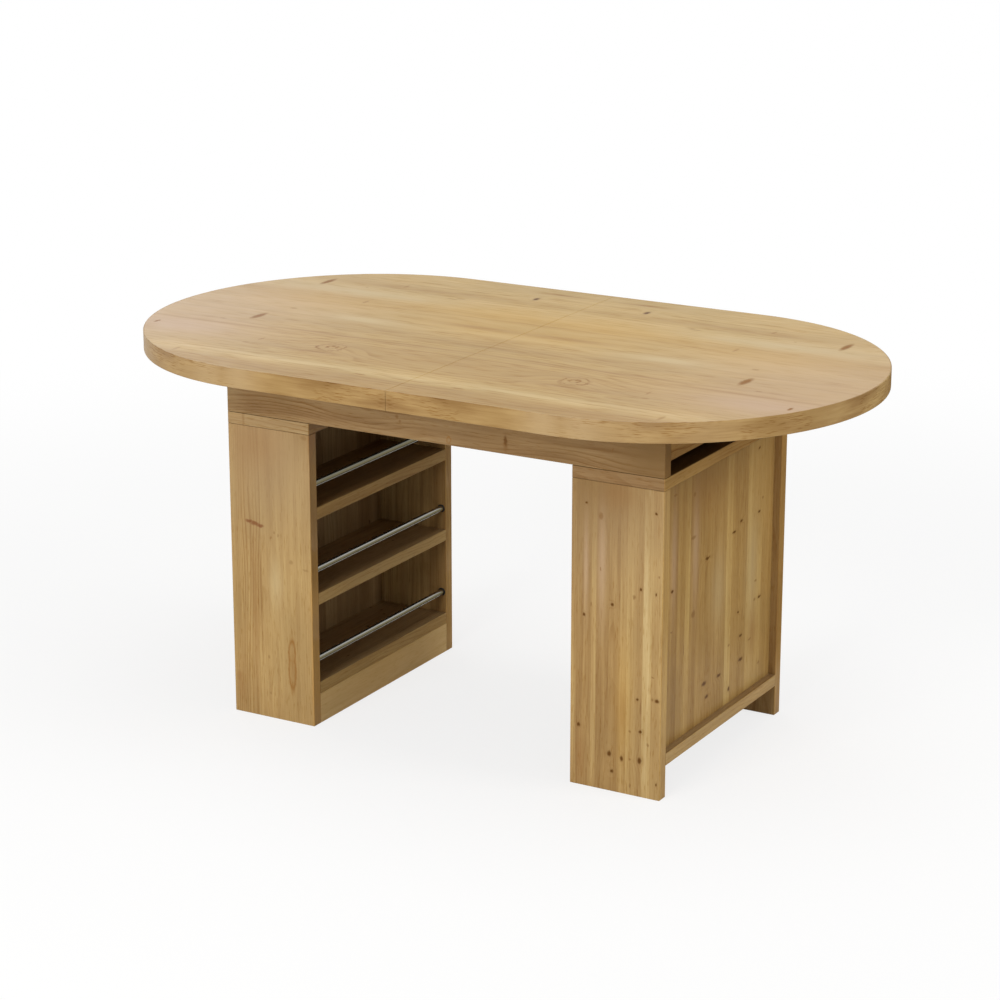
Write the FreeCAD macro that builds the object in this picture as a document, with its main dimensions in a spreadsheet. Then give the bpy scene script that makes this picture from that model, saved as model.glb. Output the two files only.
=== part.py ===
import FreeCAD, Part
import os
import Sketcher

# Oval kitchen table that stands on two open shelf cabinets.
# Millimetres. The origin is on the floor under the middle of the top, +X runs along the table,
# -Y is the front and +Z is up. The table is the same when it is turned half round the Z axis, so
# each cabinet and each half of the top is worked out once, for the right-hand side, and the
# left-hand one is the same thing turned by 180 degrees.

Vector = FreeCAD.Vector
UP = Vector(0, 0, 1)

doc = FreeCAD.newDocument("kitchen_table")


# ---------------------------------------------------------------- driving dimensions

DIMENSIONS = [
    ("table_height", 762, "floor to the top's upper face"),
    ("top_length", 1512, "over the rounded ends"),
    ("top_width", 889, "over the straight sides"),
    ("top_thickness", 38, "panel and edge band"),
    ("end_radius", 460, "large arc at each end of the plan"),
    ("shoulder_radius", 403, "arcs that join the end to the sides"),
    ("band_thickness", 2, "edge band"),
    ("rim_radius", 1.2, "rounding of the edge band"),
    ("seam_gap", 0.8, "between the two halves of the top"),
    ("seam_chamfer", 0.6, "upper edge of each half at the seam"),
    ("base_length", 949, "over the cabinets' outer sides"),
    ("base_depth", 532, "over the cabinets' front and rear panels"),
    ("board", 24, "thickness of every structural board"),
    ("arris", 0.8, "chamfer on the boards' edges"),
    ("apron_height", 104, "front and back aprons, and the cross rails"),
    ("end_rail_height", 76, "end rails and centre rail"),
    ("cabinet_width", 188, "along the table"),
    ("back_recess", 15, "back board behind the outer side"),
    ("back_thickness", 12, "back board"),
    ("groove_depth", 5, "groove that holds the back board"),
    ("bottom_shelf_top", 86, "floor to the bottom shelf's upper face"),
    ("middle_shelf_top", 270, "floor to the middle shelf's upper face"),
    ("upper_shelf_top", 445, "floor to the upper shelf's upper face"),
    ("rail_diameter", 13, "guard rail tube"),
    ("rail_wall", 1.2, "guard rail tube"),
    ("rail_setback", 11, "rail axis behind the open side"),
    ("rail_rise", 45, "rail axis above its shelf"),
    ("socket_diameter", 17, "socket that holds a rail's end"),
    ("socket_depth", 10, "socket in the panel"),
    ("socket_lip", 1, "socket proud of the panel"),
    ("socket_floor", 1, "closed end of the socket"),
    ("dowel_diameter", 8, "board dowels"),
    ("dowel_short", 10, "dowel in a board's face"),
    ("dowel_long", 20, "dowel in a board's edge"),
    ("seam_dowel_diameter", 10, "dowels across the top's seam"),
    ("seam_dowel_reach", 30, "seam dowel in each half"),
    ("seam_dowel_pitch", 150, "between seam dowels"),
    ("cam_diameter", 15, "cam lock"),
    ("cam_height", 17, "cam lock, deeper than its bolt hole"),
    ("cam_distance", 24, "cam lock's axis from the board's end"),
    ("cam_bore", 8, "hole for the cam bolt in the board's end"),
    ("cam_bore_past", 3, "that hole beyond the cam lock's axis"),
    ("cam_thread", 5, "threaded end of the cam bolt"),
    ("cam_thread_length", 11, "threaded end of the cam bolt"),
    ("cam_collar", 7, "cam bolt's collar"),
    ("cam_collar_height", 2, "cam bolt's collar"),
    ("cam_shaft", 6, "cam bolt's shaft"),
    ("cam_neck", 4, "cam bolt's neck"),
    ("cam_neck_length", 4, "cam bolt's neck"),
    ("cam_head", 6.4, "cam bolt's head"),
    ("cam_head_height", 4, "cam bolt's head"),
    ("cam_spread", 45, "cam bolts each side of the dowel"),
    ("dowel_inset", 16, "dowels from the edges of a rail"),
    ("cap_dowel_spread", 45, "dowels from the middle of the cap"),
    ("cap_screw_diameter", 4.5, "screws up through the cap"),
    ("cap_screw_length", 50, "screws up through the cap"),
    ("cap_screw_head", 9, "countersunk head"),
    ("cap_screw_head_height", 3, "countersunk head"),
    ("cap_screw_tip", 6, "pointed end"),
    ("cap_screw_pitch", 160, "between cap screws"),
    ("plate_screw_diameter", 3.5, "bracket and plate screws"),
    ("plate_screw_length", 16, "under the head"),
    ("plate_screw_head", 7, "pan head"),
    ("plate_screw_head_height", 2.2, "pan head"),
    ("plate_screw_tip", 4, "pointed end"),
    ("plate_screw_bevel", 0.8, "pan head's edge"),
    ("plate_hole", 4, "screw holes in brackets and plates"),
    ("bracket_leg", 25, "angle bracket"),
    ("bracket_width", 30, "angle bracket"),
    ("bracket_thickness", 2, "angle bracket"),
    ("bracket_hole_rise", 15, "hole from the bracket's corner"),
    ("bracket_inner", 150, "inner brackets from the middle"),
    ("bracket_outer", 380, "outer brackets from the middle"),
    ("plate_length", 120, "joining plate"),
    ("plate_width", 36, "joining plate"),
    ("plate_thickness", 2.5, "joining plate"),
    ("plate_corner", 3, "joining plate's corner radius"),
    ("plate_offset", 355, "joining plate from the middle of the table"),
    ("plate_hole_inner", 20, "plate holes from the seam"),
    ("plate_hole_outer", 48, "plate holes from the seam"),
    ("recess_span", 5.5, "cross recess of a fitting"),
    ("recess_slot", 1.2, "cross recess of a fitting"),
    ("recess_depth", 1.4, "cross recess of a fitting"),
]

sheet = doc.addObject("Spreadsheet::Sheet", "dims")
for row, (alias, size, meaning) in enumerate(DIMENSIONS, start=1):
    sheet.set(f"A{row}", alias)
    sheet.set(f"B{row}", str(size))
    sheet.set(f"C{row}", meaning)
    sheet.setAlias(f"B{row}", alias)
doc.recompute()


def value(expression):
    """The number that an expression on the sheet stands for."""
    return float(sheet.evalExpression(expression))


# ---------------------------------------------------------------- places worked out from the sheet

BOARD = "dims.board"
HALF_BOARD = "dims.board / 2"
PANEL_Y = "(dims.base_depth - dims.board) / 2"
INNER_Y = "(dims.base_depth / 2 - dims.board)"
INNER_DEPTH = "(dims.base_depth - 2 * dims.board)"
TOP_UNDERSIDE = "(dims.table_height - dims.top_thickness)"
CAP_TOP = "(dims.table_height - dims.top_thickness - dims.apron_height)"
CAP_BOTTOM = "(dims.table_height - dims.top_thickness - dims.apron_height - dims.board)"
END_RAIL_BOTTOM = "(dims.table_height - dims.top_thickness - dims.end_rail_height)"
CABINET_X = "(dims.base_length / 2 - dims.cabinet_width / 2)"
SHELF_WIDTH = "(dims.cabinet_width - dims.back_recess - dims.back_thickness)"
SHELF_X = f"(dims.base_length / 2 - dims.cabinet_width + {SHELF_WIDTH} / 2)"
BACK_BOARD_X = "(dims.base_length / 2 - dims.back_recess - dims.back_thickness / 2)"
BOTTOM_SHELF_BOTTOM = "(dims.bottom_shelf_top - dims.board)"
END_RAIL_X = "(dims.base_length / 2 - dims.board / 2)"
CROSS_RAIL_X = "(dims.base_length / 2 - dims.cabinet_width + dims.board / 2)"
GUARD_RAIL_X = "(dims.base_length / 2 - dims.cabinet_width + dims.rail_setback)"


# ---------------------------------------------------------------- placing and sketching

def place(item, x, y, z, sign=1, spin=None):
    """Bind an object's place to the sheet. A sign of -1 turns it half round the Z axis."""
    half_turn = FreeCAD.Rotation(UP, 0 if sign > 0 else 180)
    own_turn = spin if spin else FreeCAD.Rotation()
    item.Placement = FreeCAD.Placement(Vector(), half_turn.multiply(own_turn))
    item.setExpression("Placement.Base.x", f"{sign} * ({x})")
    item.setExpression("Placement.Base.y", f"{sign} * ({y})")
    item.setExpression("Placement.Base.z", z)


def new_body(label):
    item = doc.addObject("PartDesign::Body", label)
    item.Label = label
    return item


def new_sketch(body, role, lift="0"):
    """A sketch on one of the body's origin planes, lifted along the plane's normal."""
    sketch = body.newObject("Sketcher::SketchObject", f"{body.Name}_sketch")
    plane = [feature for feature in body.Origin.OriginFeatures if feature.Role == role][0]
    sketch.AttachmentSupport = [(plane, "")]
    sketch.MapMode = "FlatFace"
    sketch.setExpression("AttachmentOffset.Base.z", lift)
    return sketch


def bind_point(sketch, line, end, x, y):
    """Hold one point of the sketch at x, y from its origin; "0" puts it on the axis."""
    for kind, axis, size in (("DistanceX", -2, x), ("DistanceY", -1, y)):
        if size == "0":
            sketch.addConstraint(Sketcher.Constraint("PointOnObject", line, end, axis))
            continue
        number = sketch.addConstraint(Sketcher.Constraint(kind, -1, 1, line, end, value(size)))
        sketch.setExpression(f"Constraints[{number}]", size)


def draw_polygon(sketch, corners):
    """A closed outline of straight lines through the corners, given as pairs of expressions."""
    points = [Vector(value(x), value(y), 0) for x, y in corners]
    first = sketch.GeometryCount
    count = len(points)
    for index in range(count):
        sketch.addGeometry(Part.LineSegment(points[index], points[(index + 1) % count]))
    for index in range(count):
        following = first + (index + 1) % count
        sketch.addConstraint(Sketcher.Constraint("Coincident", first + index, 2, following, 1))
    for index, (x, y) in enumerate(corners):
        bind_point(sketch, first + index, 1, x, y)


def draw_circles(sketch, centres, diameter):
    for x, y in centres:
        centre = Vector(value(x), value(y), 0)
        number = sketch.addGeometry(Part.Circle(centre, UP, value(diameter) / 2))
        bind_point(sketch, number, 3, x, y)
        size = sketch.addConstraint(Sketcher.Constraint("Diameter", number, value(diameter)))
        sketch.setExpression(f"Constraints[{size}]", diameter)


def pad(body, sketch, length):
    feature = body.newObject("PartDesign::Pad", f"{body.Name}_pad")
    feature.Profile = sketch
    feature.setExpression("Length", length)
    sketch.Visibility = False
    return feature


def pocket(body, sketch, depth, along_normal):
    """Cut a sketch into the body, along its plane's normal or against it."""
    feature = body.newObject("PartDesign::Pocket", f"{body.Name}_pocket")
    feature.Profile = sketch
    feature.setExpression("Length", depth)
    feature.Reversed = along_normal
    sketch.Visibility = False
    return feature


def soften(body, base, kind, size, wanted):
    """Chamfer or fillet those of a feature's straight or round edges that the test picks."""
    doc.recompute()
    names = [f"Edge{n}" for n, edge in enumerate(base.Shape.Edges, start=1) if wanted(edge)]
    feature = body.newObject(f"PartDesign::{kind}", f"{body.Name}_{kind.lower()}")
    feature.Base = (base, names)
    feature.setExpression("Size" if kind == "Chamfer" else "Radius", size)
    return feature


def turned(label, profile):
    """A turned piece about its own Z axis. The profile is a list of radius and height pairs."""
    body = new_body(label)
    sketch = new_sketch(body, "XZ_Plane")
    draw_polygon(sketch, profile)
    feature = body.newObject("PartDesign::Revolution", f"{label}_turning")
    feature.Profile = sketch
    feature.ReferenceAxis = (sketch, ["V_Axis"])
    feature.Angle = 360
    sketch.Visibility = False
    return body


def cross_recess(body):
    """A cross-shaped driver recess cut upwards from the body's XY plane."""
    arm = "dims.recess_span / 2"
    slot = "dims.recess_slot / 2"
    quarter = [(arm, slot), (slot, slot), (slot, arm)]
    corners = list(quarter)
    corners += [(f"-{x}", y) for x, y in reversed(quarter)]
    corners += [(f"-{x}", f"-{y}") for x, y in quarter]
    corners += [(x, f"-{y}") for x, y in reversed(quarter)]
    sketch = new_sketch(body, "XY_Plane")
    draw_polygon(sketch, corners)
    pocket(body, sketch, "dims.recess_depth", True)


# ---------------------------------------------------------------- boards

# Each face of a board: its axis number, its direction, the sketch plane that is parallel to it,
# whether that plane's normal points the same way, and the two axes that the sketch lies along.
FACES = {
    "+X": (0, 1, "YZ_Plane", True, (1, 2)),
    "-X": (0, -1, "YZ_Plane", False, (1, 2)),
    "+Y": (1, 1, "XZ_Plane", False, (0, 2)),
    "-Y": (1, -1, "XZ_Plane", True, (0, 2)),
    "+Z": (2, 1, "XY_Plane", True, (0, 1)),
    "-Z": (2, -1, "XY_Plane", False, (0, 1)),
}


def face_towards(direction):
    """The name of the face that looks along a direction such as (0, -1, 0)."""
    axis = [index for index in range(3) if direction[index]][0]
    return ("+" if direction[axis] > 0 else "-") + "XYZ"[axis]


class Board:
    """A rectangular board: size and the middle of its underside, before any half turn."""

    def __init__(self, label, size, middle, sign=1, arris="XYZ"):
        self.size = size
        self.middle = middle
        self.body = new_body(label)
        sketch = new_sketch(self.body, "XY_Plane")
        x, y = f"({size[0]}) / 2", f"({size[1]}) / 2"
        draw_polygon(sketch, [(f"-{x}", f"-{y}"), (x, f"-{y}"), (x, y), (f"-{x}", y)])
        blank = pad(self.body, sketch, size[2])
        if arris:
            soften(self.body, blank, "Chamfer", "dims.arris", lambda edge: self.runs_along(edge, arris))
        place(self.body, *middle, sign)

    @staticmethod
    def runs_along(edge, axes):
        direction = edge.tangentAt(edge.FirstParameter)
        return any(abs(direction["XYZ".index(axis)]) > 0.9 for axis in axes)

    def face_lift(self, face):
        """How far the face lies along the normal of the sketch plane that is parallel to it."""
        axis, direction, _, same_way, _ = FACES[face]
        if axis == 2:
            return self.size[2] if direction > 0 else "0"
        return f"{1 if same_way else -1} * ({self.size[axis]}) / 2"

    def face_sketch(self, face):
        return new_sketch(self.body, FACES[face][2], self.face_lift(face))

    def on_face(self, face, point):
        """A point of the assembly as the face's sketch measures it."""
        along = FACES[face][4]
        return tuple(f"({point[axis]}) - ({self.middle[axis]})" for axis in along)

    def drill(self, face, points, diameter, depth):
        sketch = self.face_sketch(face)
        draw_circles(sketch, [self.on_face(face, point) for point in points], diameter)
        pocket(self.body, sketch, depth, not FACES[face][3])

    def groove(self, face, low, high, depth):
        """Cut a rectangle between two corners of the assembly into a face."""
        sketch = self.face_sketch(face)
        x0, y0 = self.on_face(face, low)
        x1, y1 = self.on_face(face, high)
        draw_polygon(sketch, [(x0, y0), (x1, y0), (x1, y1), (x0, y1)])
        pocket(self.body, sketch, depth, not FACES[face][3])


# ---------------------------------------------------------------- fittings, one of each

def make_dowel(label, diameter, below, above):
    """A dowel with chamfered ends; its origin lies where the two boards meet."""
    radius = f"{diameter} / 2"
    tip = f"{diameter} / 2 - dims.arris"
    return turned(label, [
        ("0", f"-{below}"),
        (tip, f"-{below}"),
        (radius, f"-{below} + dims.arris"),
        (radius, f"{above} - dims.arris"),
        (tip, above),
        ("0", above),
    ])


def make_cam_bolt():
    """Threaded end in one board, neck and head in the other board's cam lock."""
    thread, collar, shaft = "dims.cam_thread / 2", "dims.cam_collar / 2", "dims.cam_shaft / 2"
    neck, head = "dims.cam_neck / 2", "dims.cam_head / 2"
    head_end = "dims.cam_distance + dims.cam_head_height / 2"
    neck_end = "dims.cam_distance - dims.cam_head_height / 2"
    shaft_end = f"{neck_end} - dims.cam_neck_length"
    return turned("cam_bolt", [
        ("0", "-dims.cam_thread_length"),
        (thread, "-dims.cam_thread_length"),
        (thread, "0"),
        (collar, "0"),
        (collar, "dims.cam_collar_height"),
        (shaft, "dims.cam_collar_height"),
        (shaft, shaft_end),
        (neck, shaft_end),
        (neck, neck_end),
        (head, neck_end),
        (head, head_end),
        ("0", head_end),
    ])


def make_cam_lock():
    """A disc with a driver recess in its lower face and a bore for the bolt's head."""
    body = new_body("cam_lock")
    disc = new_sketch(body, "XY_Plane")
    draw_circles(disc, [("0", "0")], "dims.cam_diameter")
    pad(body, disc, "dims.cam_height")
    bore = new_sketch(body, "YZ_Plane", "-dims.cam_bore_past")
    draw_circles(bore, [("0", HALF_BOARD)], "dims.cam_bore")
    pocket(body, bore, "dims.cam_diameter", True)
    cross_recess(body)
    return body


def make_pan_screw():
    """Pan head below the XY plane, shank above it."""
    radius = "dims.plate_screw_diameter / 2"
    head = "dims.plate_screw_head / 2"
    body = turned("pan_screw", [
        ("0", "0"),
        (f"{head} - dims.plate_screw_bevel", "0"),
        (head, "dims.plate_screw_bevel"),
        (head, "dims.plate_screw_head_height"),
        (radius, "dims.plate_screw_head_height"),
        (radius, "dims.plate_screw_head_height + dims.plate_screw_length - dims.plate_screw_tip"),
        ("0", "dims.plate_screw_head_height + dims.plate_screw_length"),
    ])
    cross_recess(body)
    return body


def make_cap_screw():
    """Countersunk screw; its origin is the middle of the head's flat face."""
    radius = "dims.cap_screw_diameter / 2"
    head = "dims.cap_screw_head / 2"
    body = turned("cap_screw", [
        ("0", "0"),
        (head, "0"),
        (radius, "dims.cap_screw_head_height"),
        (radius, "dims.cap_screw_length - dims.cap_screw_tip"),
        ("0", "dims.cap_screw_length"),
    ])
    cross_recess(body)
    return body


def make_socket():
    """A cup for a guard rail's end; its origin lies on the panel's face, its mouth looks along +Z."""
    outer = "dims.socket_diameter / 2"
    bore = "dims.rail_diameter / 2"
    return turned("rail_socket", [
        ("0", "-dims.socket_depth"),
        (outer, "-dims.socket_depth"),
        (outer, "dims.socket_lip"),
        (bore, "dims.socket_lip"),
        (bore, "dims.socket_floor - dims.socket_depth"),
        ("0", "dims.socket_floor - dims.socket_depth"),
    ])


def make_bracket():
    """Steel angle: corner on the X axis, legs along -Y and -Z, one screw hole in each."""
    body = new_body("bracket")
    leg, thickness = "dims.bracket_leg", "dims.bracket_thickness"
    outline = new_sketch(body, "YZ_Plane", "-dims.bracket_width / 2")
    draw_polygon(outline, [
        ("0", "0"),
        (f"-{leg}", "0"),
        (f"-{leg}", f"-{thickness}"),
        (f"-{thickness}", f"-{thickness}"),
        (f"-{thickness}", f"-{leg}"),
        ("0", f"-{leg}"),
    ])
    pad(body, outline, "dims.bracket_width")
    upper = new_sketch(body, "XY_Plane")
    draw_circles(upper, [("0", "-dims.bracket_hole_rise")], "dims.plate_hole")
    pocket(body, upper, thickness, False)
    side = new_sketch(body, "XZ_Plane")
    draw_circles(side, [("0", "-dims.bracket_hole_rise")], "dims.plate_hole")
    pocket(body, side, thickness, True)
    return body


def make_joining_plate():
    body = new_body("joining_plate")
    outline = new_sketch(body, "XY_Plane", "-dims.plate_thickness")
    x, y = "dims.plate_length / 2", "dims.plate_width / 2"
    draw_polygon(outline, [(f"-{x}", f"-{y}"), (x, f"-{y}"), (x, y), (f"-{x}", y)])
    blank = pad(body, outline, "dims.plate_thickness")
    soften(body, blank, "Fillet", "dims.plate_corner", lambda edge: Board.runs_along(edge, "Z"))
    holes = new_sketch(body, "XY_Plane")
    distances = ["dims.plate_hole_inner", "dims.plate_hole_outer"]
    centres = [(f"{side}{distance}", "0") for side in ("", "-") for distance in distances]
    draw_circles(holes, centres, "dims.plate_hole")
    pocket(body, holes, "dims.plate_thickness", False)
    return body


DOWEL = make_dowel("dowel", "dims.dowel_diameter", "dims.dowel_short", "dims.dowel_long")
CAM_BOLT = make_cam_bolt()
CAM_LOCK = make_cam_lock()
PAN_SCREW = make_pan_screw()
CAP_SCREW = make_cap_screw()
SOCKET = make_socket()
BRACKET = make_bracket()
PLATE = make_joining_plate()
SEAM_REACH = "(dims.seam_dowel_reach + dims.seam_gap / 2)"
SEAM_DOWEL = make_dowel("seam_dowel", "dims.seam_dowel_diameter", SEAM_REACH, SEAM_REACH)

groups = {}


def towards(direction):
    """The turn that points a fitting's own +Z along a direction."""
    return FreeCAD.Rotation(UP, Vector(*direction))


def add_fitting(group, master, point, sign=1, spin=None):
    """Put one copy of a fitting in a group; the group becomes one node."""
    copies = groups.setdefault(group, [])
    link = doc.addObject("App::Link", f"{group}_{len(copies) + 1}")
    link.LinkedObject = master
    place(link, *point, sign, spin)
    copies.append(link)


def shift(point, direction, distance):
    """A point moved along a unit direction by an expression."""
    return tuple(f"{point[axis]} + {direction[axis]} * {distance}" if direction[axis] else point[axis]
                 for axis in range(3))


def half_turned(point, sign):
    """Where a point of the right-hand cabinet lies on the cabinet with this sign."""
    x, y, z = point
    return (f"{sign} * ({x})", f"{sign} * ({y})", z)


def dowel_joint(group, face_board, edge_board, points, into, sign=1):
    """Dowels from one board's face into another board's edge."""
    face_board.drill(face_towards(into), points, "dims.dowel_diameter", "dims.dowel_short")
    back = tuple(-step for step in into)
    edge_board.drill(face_towards(back), points, "dims.dowel_diameter", "dims.dowel_long")
    for point in points:
        add_fitting(group, DOWEL, point, sign, towards(into))


def cam_joint(group, face_board, edge_board, points, into, entry, sign=1):
    """Cam bolts in one board's face and cam locks in the other board, put in along entry."""
    face_board.drill(face_towards(into), points, "dims.cam_thread", "dims.cam_thread_length")
    back = tuple(-step for step in into)
    edge_board.drill(face_towards(back), points, "dims.cam_bore", "dims.cam_distance")
    locks = [shift(point, into, "dims.cam_distance") for point in points]
    outside = tuple(-step for step in entry)
    edge_board.drill(face_towards(outside), locks, "dims.cam_diameter", "dims.cam_height")
    own_y = Vector(*entry).cross(Vector(*back))
    lock_turn = FreeCAD.Rotation(Vector(*back), own_y, Vector(*entry), "ZXY")
    for point, lock in zip(points, locks):
        add_fitting(f"{group}_cam_bolts", CAM_BOLT, point, sign, towards(into))
        add_fitting(f"{group}_cam_locks", CAM_LOCK, shift(lock, outside, HALF_BOARD), sign, lock_turn)


# ---------------------------------------------------------------- the top

def draw_half_oval(sketch, inset, seam_x):
    """The right half of the top's plan, set in by an even distance, with its seam side at seam_x."""
    half_width = f"dims.top_width / 2 - {inset}"
    end_radius = f"dims.end_radius - {inset}"
    shoulder_radius = f"dims.shoulder_radius - {inset}"
    end_centre = "dims.top_length / 2 - dims.end_radius"
    width, large, small = value(half_width), value(end_radius), value(shoulder_radius)
    centre = Vector(value(end_centre), 0, 0)
    rise = width - small
    run = ((large - small) ** 2 - rise ** 2) ** 0.5
    meet = centre + Vector(run, rise, 0).normalize() * large
    lower_meet = Vector(meet.x, -meet.y, 0)
    seam = value(seam_x)

    def on_shoulder(side):
        """A point half way round the shoulder arc on the upper or the lower side."""
        middle = Vector(centre.x + run, side * rise, 0)
        start = Vector(0, side, 0)
        end = Vector(run, side * rise, 0).normalize()
        return middle + (start + end).normalize() * small

    lower_start, lower_end = Vector(seam, -width, 0), Vector(centre.x + run, -width, 0)
    upper_start, upper_end = Vector(centre.x + run, width, 0), Vector(seam, width, 0)
    lower_line = sketch.addGeometry(Part.LineSegment(lower_start, lower_end))
    lower_arc = sketch.addGeometry(Part.Arc(lower_end, on_shoulder(-1), lower_meet))
    end_arc = sketch.addGeometry(Part.Arc(lower_meet, centre + Vector(large, 0, 0), meet))
    upper_arc = sketch.addGeometry(Part.Arc(meet, on_shoulder(1), upper_start))
    upper_line = sketch.addGeometry(Part.LineSegment(upper_start, upper_end))
    seam_line = sketch.addGeometry(Part.LineSegment(upper_end, lower_start))
    chain = [lower_line, lower_arc, end_arc, upper_arc, upper_line]
    for before, after in zip(chain, chain[1:]):
        sketch.addConstraint(Sketcher.Constraint("Tangent", before, 2, after, 1))
    sketch.addConstraint(Sketcher.Constraint("Coincident", upper_line, 2, seam_line, 1))
    sketch.addConstraint(Sketcher.Constraint("Coincident", seam_line, 2, lower_line, 1))
    sketch.addConstraint(Sketcher.Constraint("Horizontal", lower_line))
    sketch.addConstraint(Sketcher.Constraint("Horizontal", upper_line))
    sketch.addConstraint(Sketcher.Constraint("Vertical", seam_line))
    for arc, size in ((lower_arc, shoulder_radius), (end_arc, end_radius), (upper_arc, shoulder_radius)):
        number = sketch.addConstraint(Sketcher.Constraint("Radius", arc, value(size)))
        sketch.setExpression(f"Constraints[{number}]", size)
    bind_point(sketch, end_arc, 3, end_centre, "0")
    bind_point(sketch, seam_line, 1, seam_x, half_width)
    number = sketch.addConstraint(Sketcher.Constraint("DistanceY", -1, 1, lower_line, 1, -width))
    sketch.setExpression(f"Constraints[{number}]", f"-({half_width})")


def make_top_half(side, sign):
    """The panel of one half, drilled for the seam dowels and the screws under it."""
    body = new_body(f"tabletop_{side}")
    outline = new_sketch(body, "XY_Plane")
    draw_half_oval(outline, "dims.band_thickness", "dims.seam_gap / 2")
    blank = pad(body, outline, "dims.top_thickness")

    def upper_seam_edge(edge):
        box = edge.BoundBox
        return box.XMax < value("dims.seam_gap") and box.ZMin > value("dims.top_thickness") - 0.01

    soften(body, blank, "Chamfer", "dims.seam_chamfer", upper_seam_edge)
    seam = new_sketch(body, "YZ_Plane", "dims.seam_gap / 2")
    rows = [f"{step} * dims.seam_dowel_pitch" if step else "0" for step in (-2, -1, 0, 1, 2)]
    draw_circles(seam, [(row, "dims.top_thickness / 2") for row in rows], "dims.seam_dowel_diameter")
    pocket(body, seam, "dims.seam_dowel_reach", True)
    bracket_y = f"({INNER_Y} - dims.bracket_hole_rise)"
    pilots = [(x, f"{row} * {bracket_y}")
              for row in (-1, 1) for x in ("dims.bracket_inner", "dims.bracket_outer")]
    pilots += [(x, f"{row} * dims.plate_offset")
               for row in (-1, 1) for x in ("dims.plate_hole_inner", "dims.plate_hole_outer")]
    under = new_sketch(body, "XY_Plane")
    draw_circles(under, pilots, "dims.plate_screw_diameter")
    pocket(body, under, "dims.plate_screw_length", True)
    place(body, "0", "0", TOP_UNDERSIDE, sign)


def make_edge_band(side, sign):
    """The band round one half, rounded at its upper and lower rims."""
    body = new_body(f"edge_band_{side}")
    outer = new_sketch(body, "XY_Plane")
    draw_half_oval(outer, "0", "dims.seam_gap / 2")
    blank = pad(body, outer, "dims.top_thickness")

    def rim(edge):
        box = edge.BoundBox
        flat = box.ZLength < 0.01
        return flat and box.XMax > value("dims.seam_gap")

    soften(body, blank, "Fillet", "dims.rim_radius", rim)
    inner = new_sketch(body, "XY_Plane")
    draw_half_oval(inner, "dims.band_thickness", "-dims.seam_gap")
    pocket(body, inner, "dims.top_thickness", True)
    place(body, "0", "0", TOP_UNDERSIDE, sign)


for side, sign in (("left", -1), ("right", 1)):
    make_top_half(side, sign)
    make_edge_band(side, sign)

ALONG_X = FreeCAD.Rotation(UP, Vector(1, 0, 0))
for step in (-2, -1, 0, 1, 2):
    seam_point = ("0", f"{step} * dims.seam_dowel_pitch", f"{TOP_UNDERSIDE} + dims.top_thickness / 2")
    add_fitting("seam_dowels", SEAM_DOWEL, seam_point, 1, ALONG_X)

for sign in (-1, 1):
    add_fitting("joining_plates", PLATE, ("0", "dims.plate_offset", TOP_UNDERSIDE), sign)
    screw_z = f"{TOP_UNDERSIDE} - dims.plate_thickness - dims.plate_screw_head_height"
    for half in (-1, 1):
        for distance in ("dims.plate_hole_inner", "dims.plate_hole_outer"):
            screw_point = (f"{half} * {distance}", "dims.plate_offset", screw_z)
            add_fitting("joining_plate_screws", PAN_SCREW, screw_point, sign)


# ---------------------------------------------------------------- the frame under the top

aprons = {}
for name, row in (("front", -1), ("back", 1)):
    aprons[row] = Board(f"apron_{name}", ("dims.base_length", BOARD, "dims.apron_height"),
                        ("0", f"{row} * {PANEL_Y}", CAP_TOP))

END_SIZE = (BOARD, INNER_DEPTH, "dims.end_rail_height")
CROSS_SIZE = (BOARD, INNER_DEPTH, "dims.apron_height")
RAILS = [
    ("end_rail_left", END_SIZE, f"-{END_RAIL_X}", END_RAIL_BOTTOM, -1),
    ("end_rail_right", END_SIZE, END_RAIL_X, END_RAIL_BOTTOM, 1),
    ("cross_rail_left", CROSS_SIZE, f"-{CROSS_RAIL_X}", CAP_TOP, -1),
    ("cross_rail_right", CROSS_SIZE, CROSS_RAIL_X, CAP_TOP, 1),
    ("centre_rail", END_SIZE, "0", END_RAIL_BOTTOM, 1),
]
rails = {}
for name, size, rail_x, rail_z, outward in RAILS:
    rail = Board(name, size, (rail_x, "0", rail_z), 1, "Y")
    rails[name] = rail
    height = size[2]
    for row in (-1, 1):
        inner_face = f"{row} * {INNER_Y}"
        into = (0, -row, 0)
        pegs = [(rail_x, inner_face, f"{rail_z} + dims.dowel_inset"),
                (rail_x, inner_face, f"{rail_z} + {height} - dims.dowel_inset")]
        dowel_joint("frame_dowels", aprons[row], rail, pegs, into)
        middle = [(rail_x, inner_face, f"{rail_z} + {height} / 2")]
        cam_joint("frame", aprons[row], rail, middle, into, (outward, 0, 0))

for sign in (-1, 1):
    for x in ("dims.bracket_inner", "dims.bracket_outer"):
        for half in (-1, 1):
            bracket_x = f"{half} * {x}"
            add_fitting("top_brackets", BRACKET, (bracket_x, INNER_Y, TOP_UNDERSIDE), sign)
            up_point = (bracket_x, f"{INNER_Y} - dims.bracket_hole_rise",
                        f"{TOP_UNDERSIDE} - dims.bracket_thickness - dims.plate_screw_head_height")
            side_point = (bracket_x,
                          f"{INNER_Y} - dims.bracket_thickness - dims.plate_screw_head_height",
                          f"{TOP_UNDERSIDE} - dims.bracket_hole_rise")
            add_fitting("top_bracket_screws", PAN_SCREW, up_point, sign)
            add_fitting("top_bracket_screws", PAN_SCREW, side_point, sign, towards((0, 1, 0)))

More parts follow.
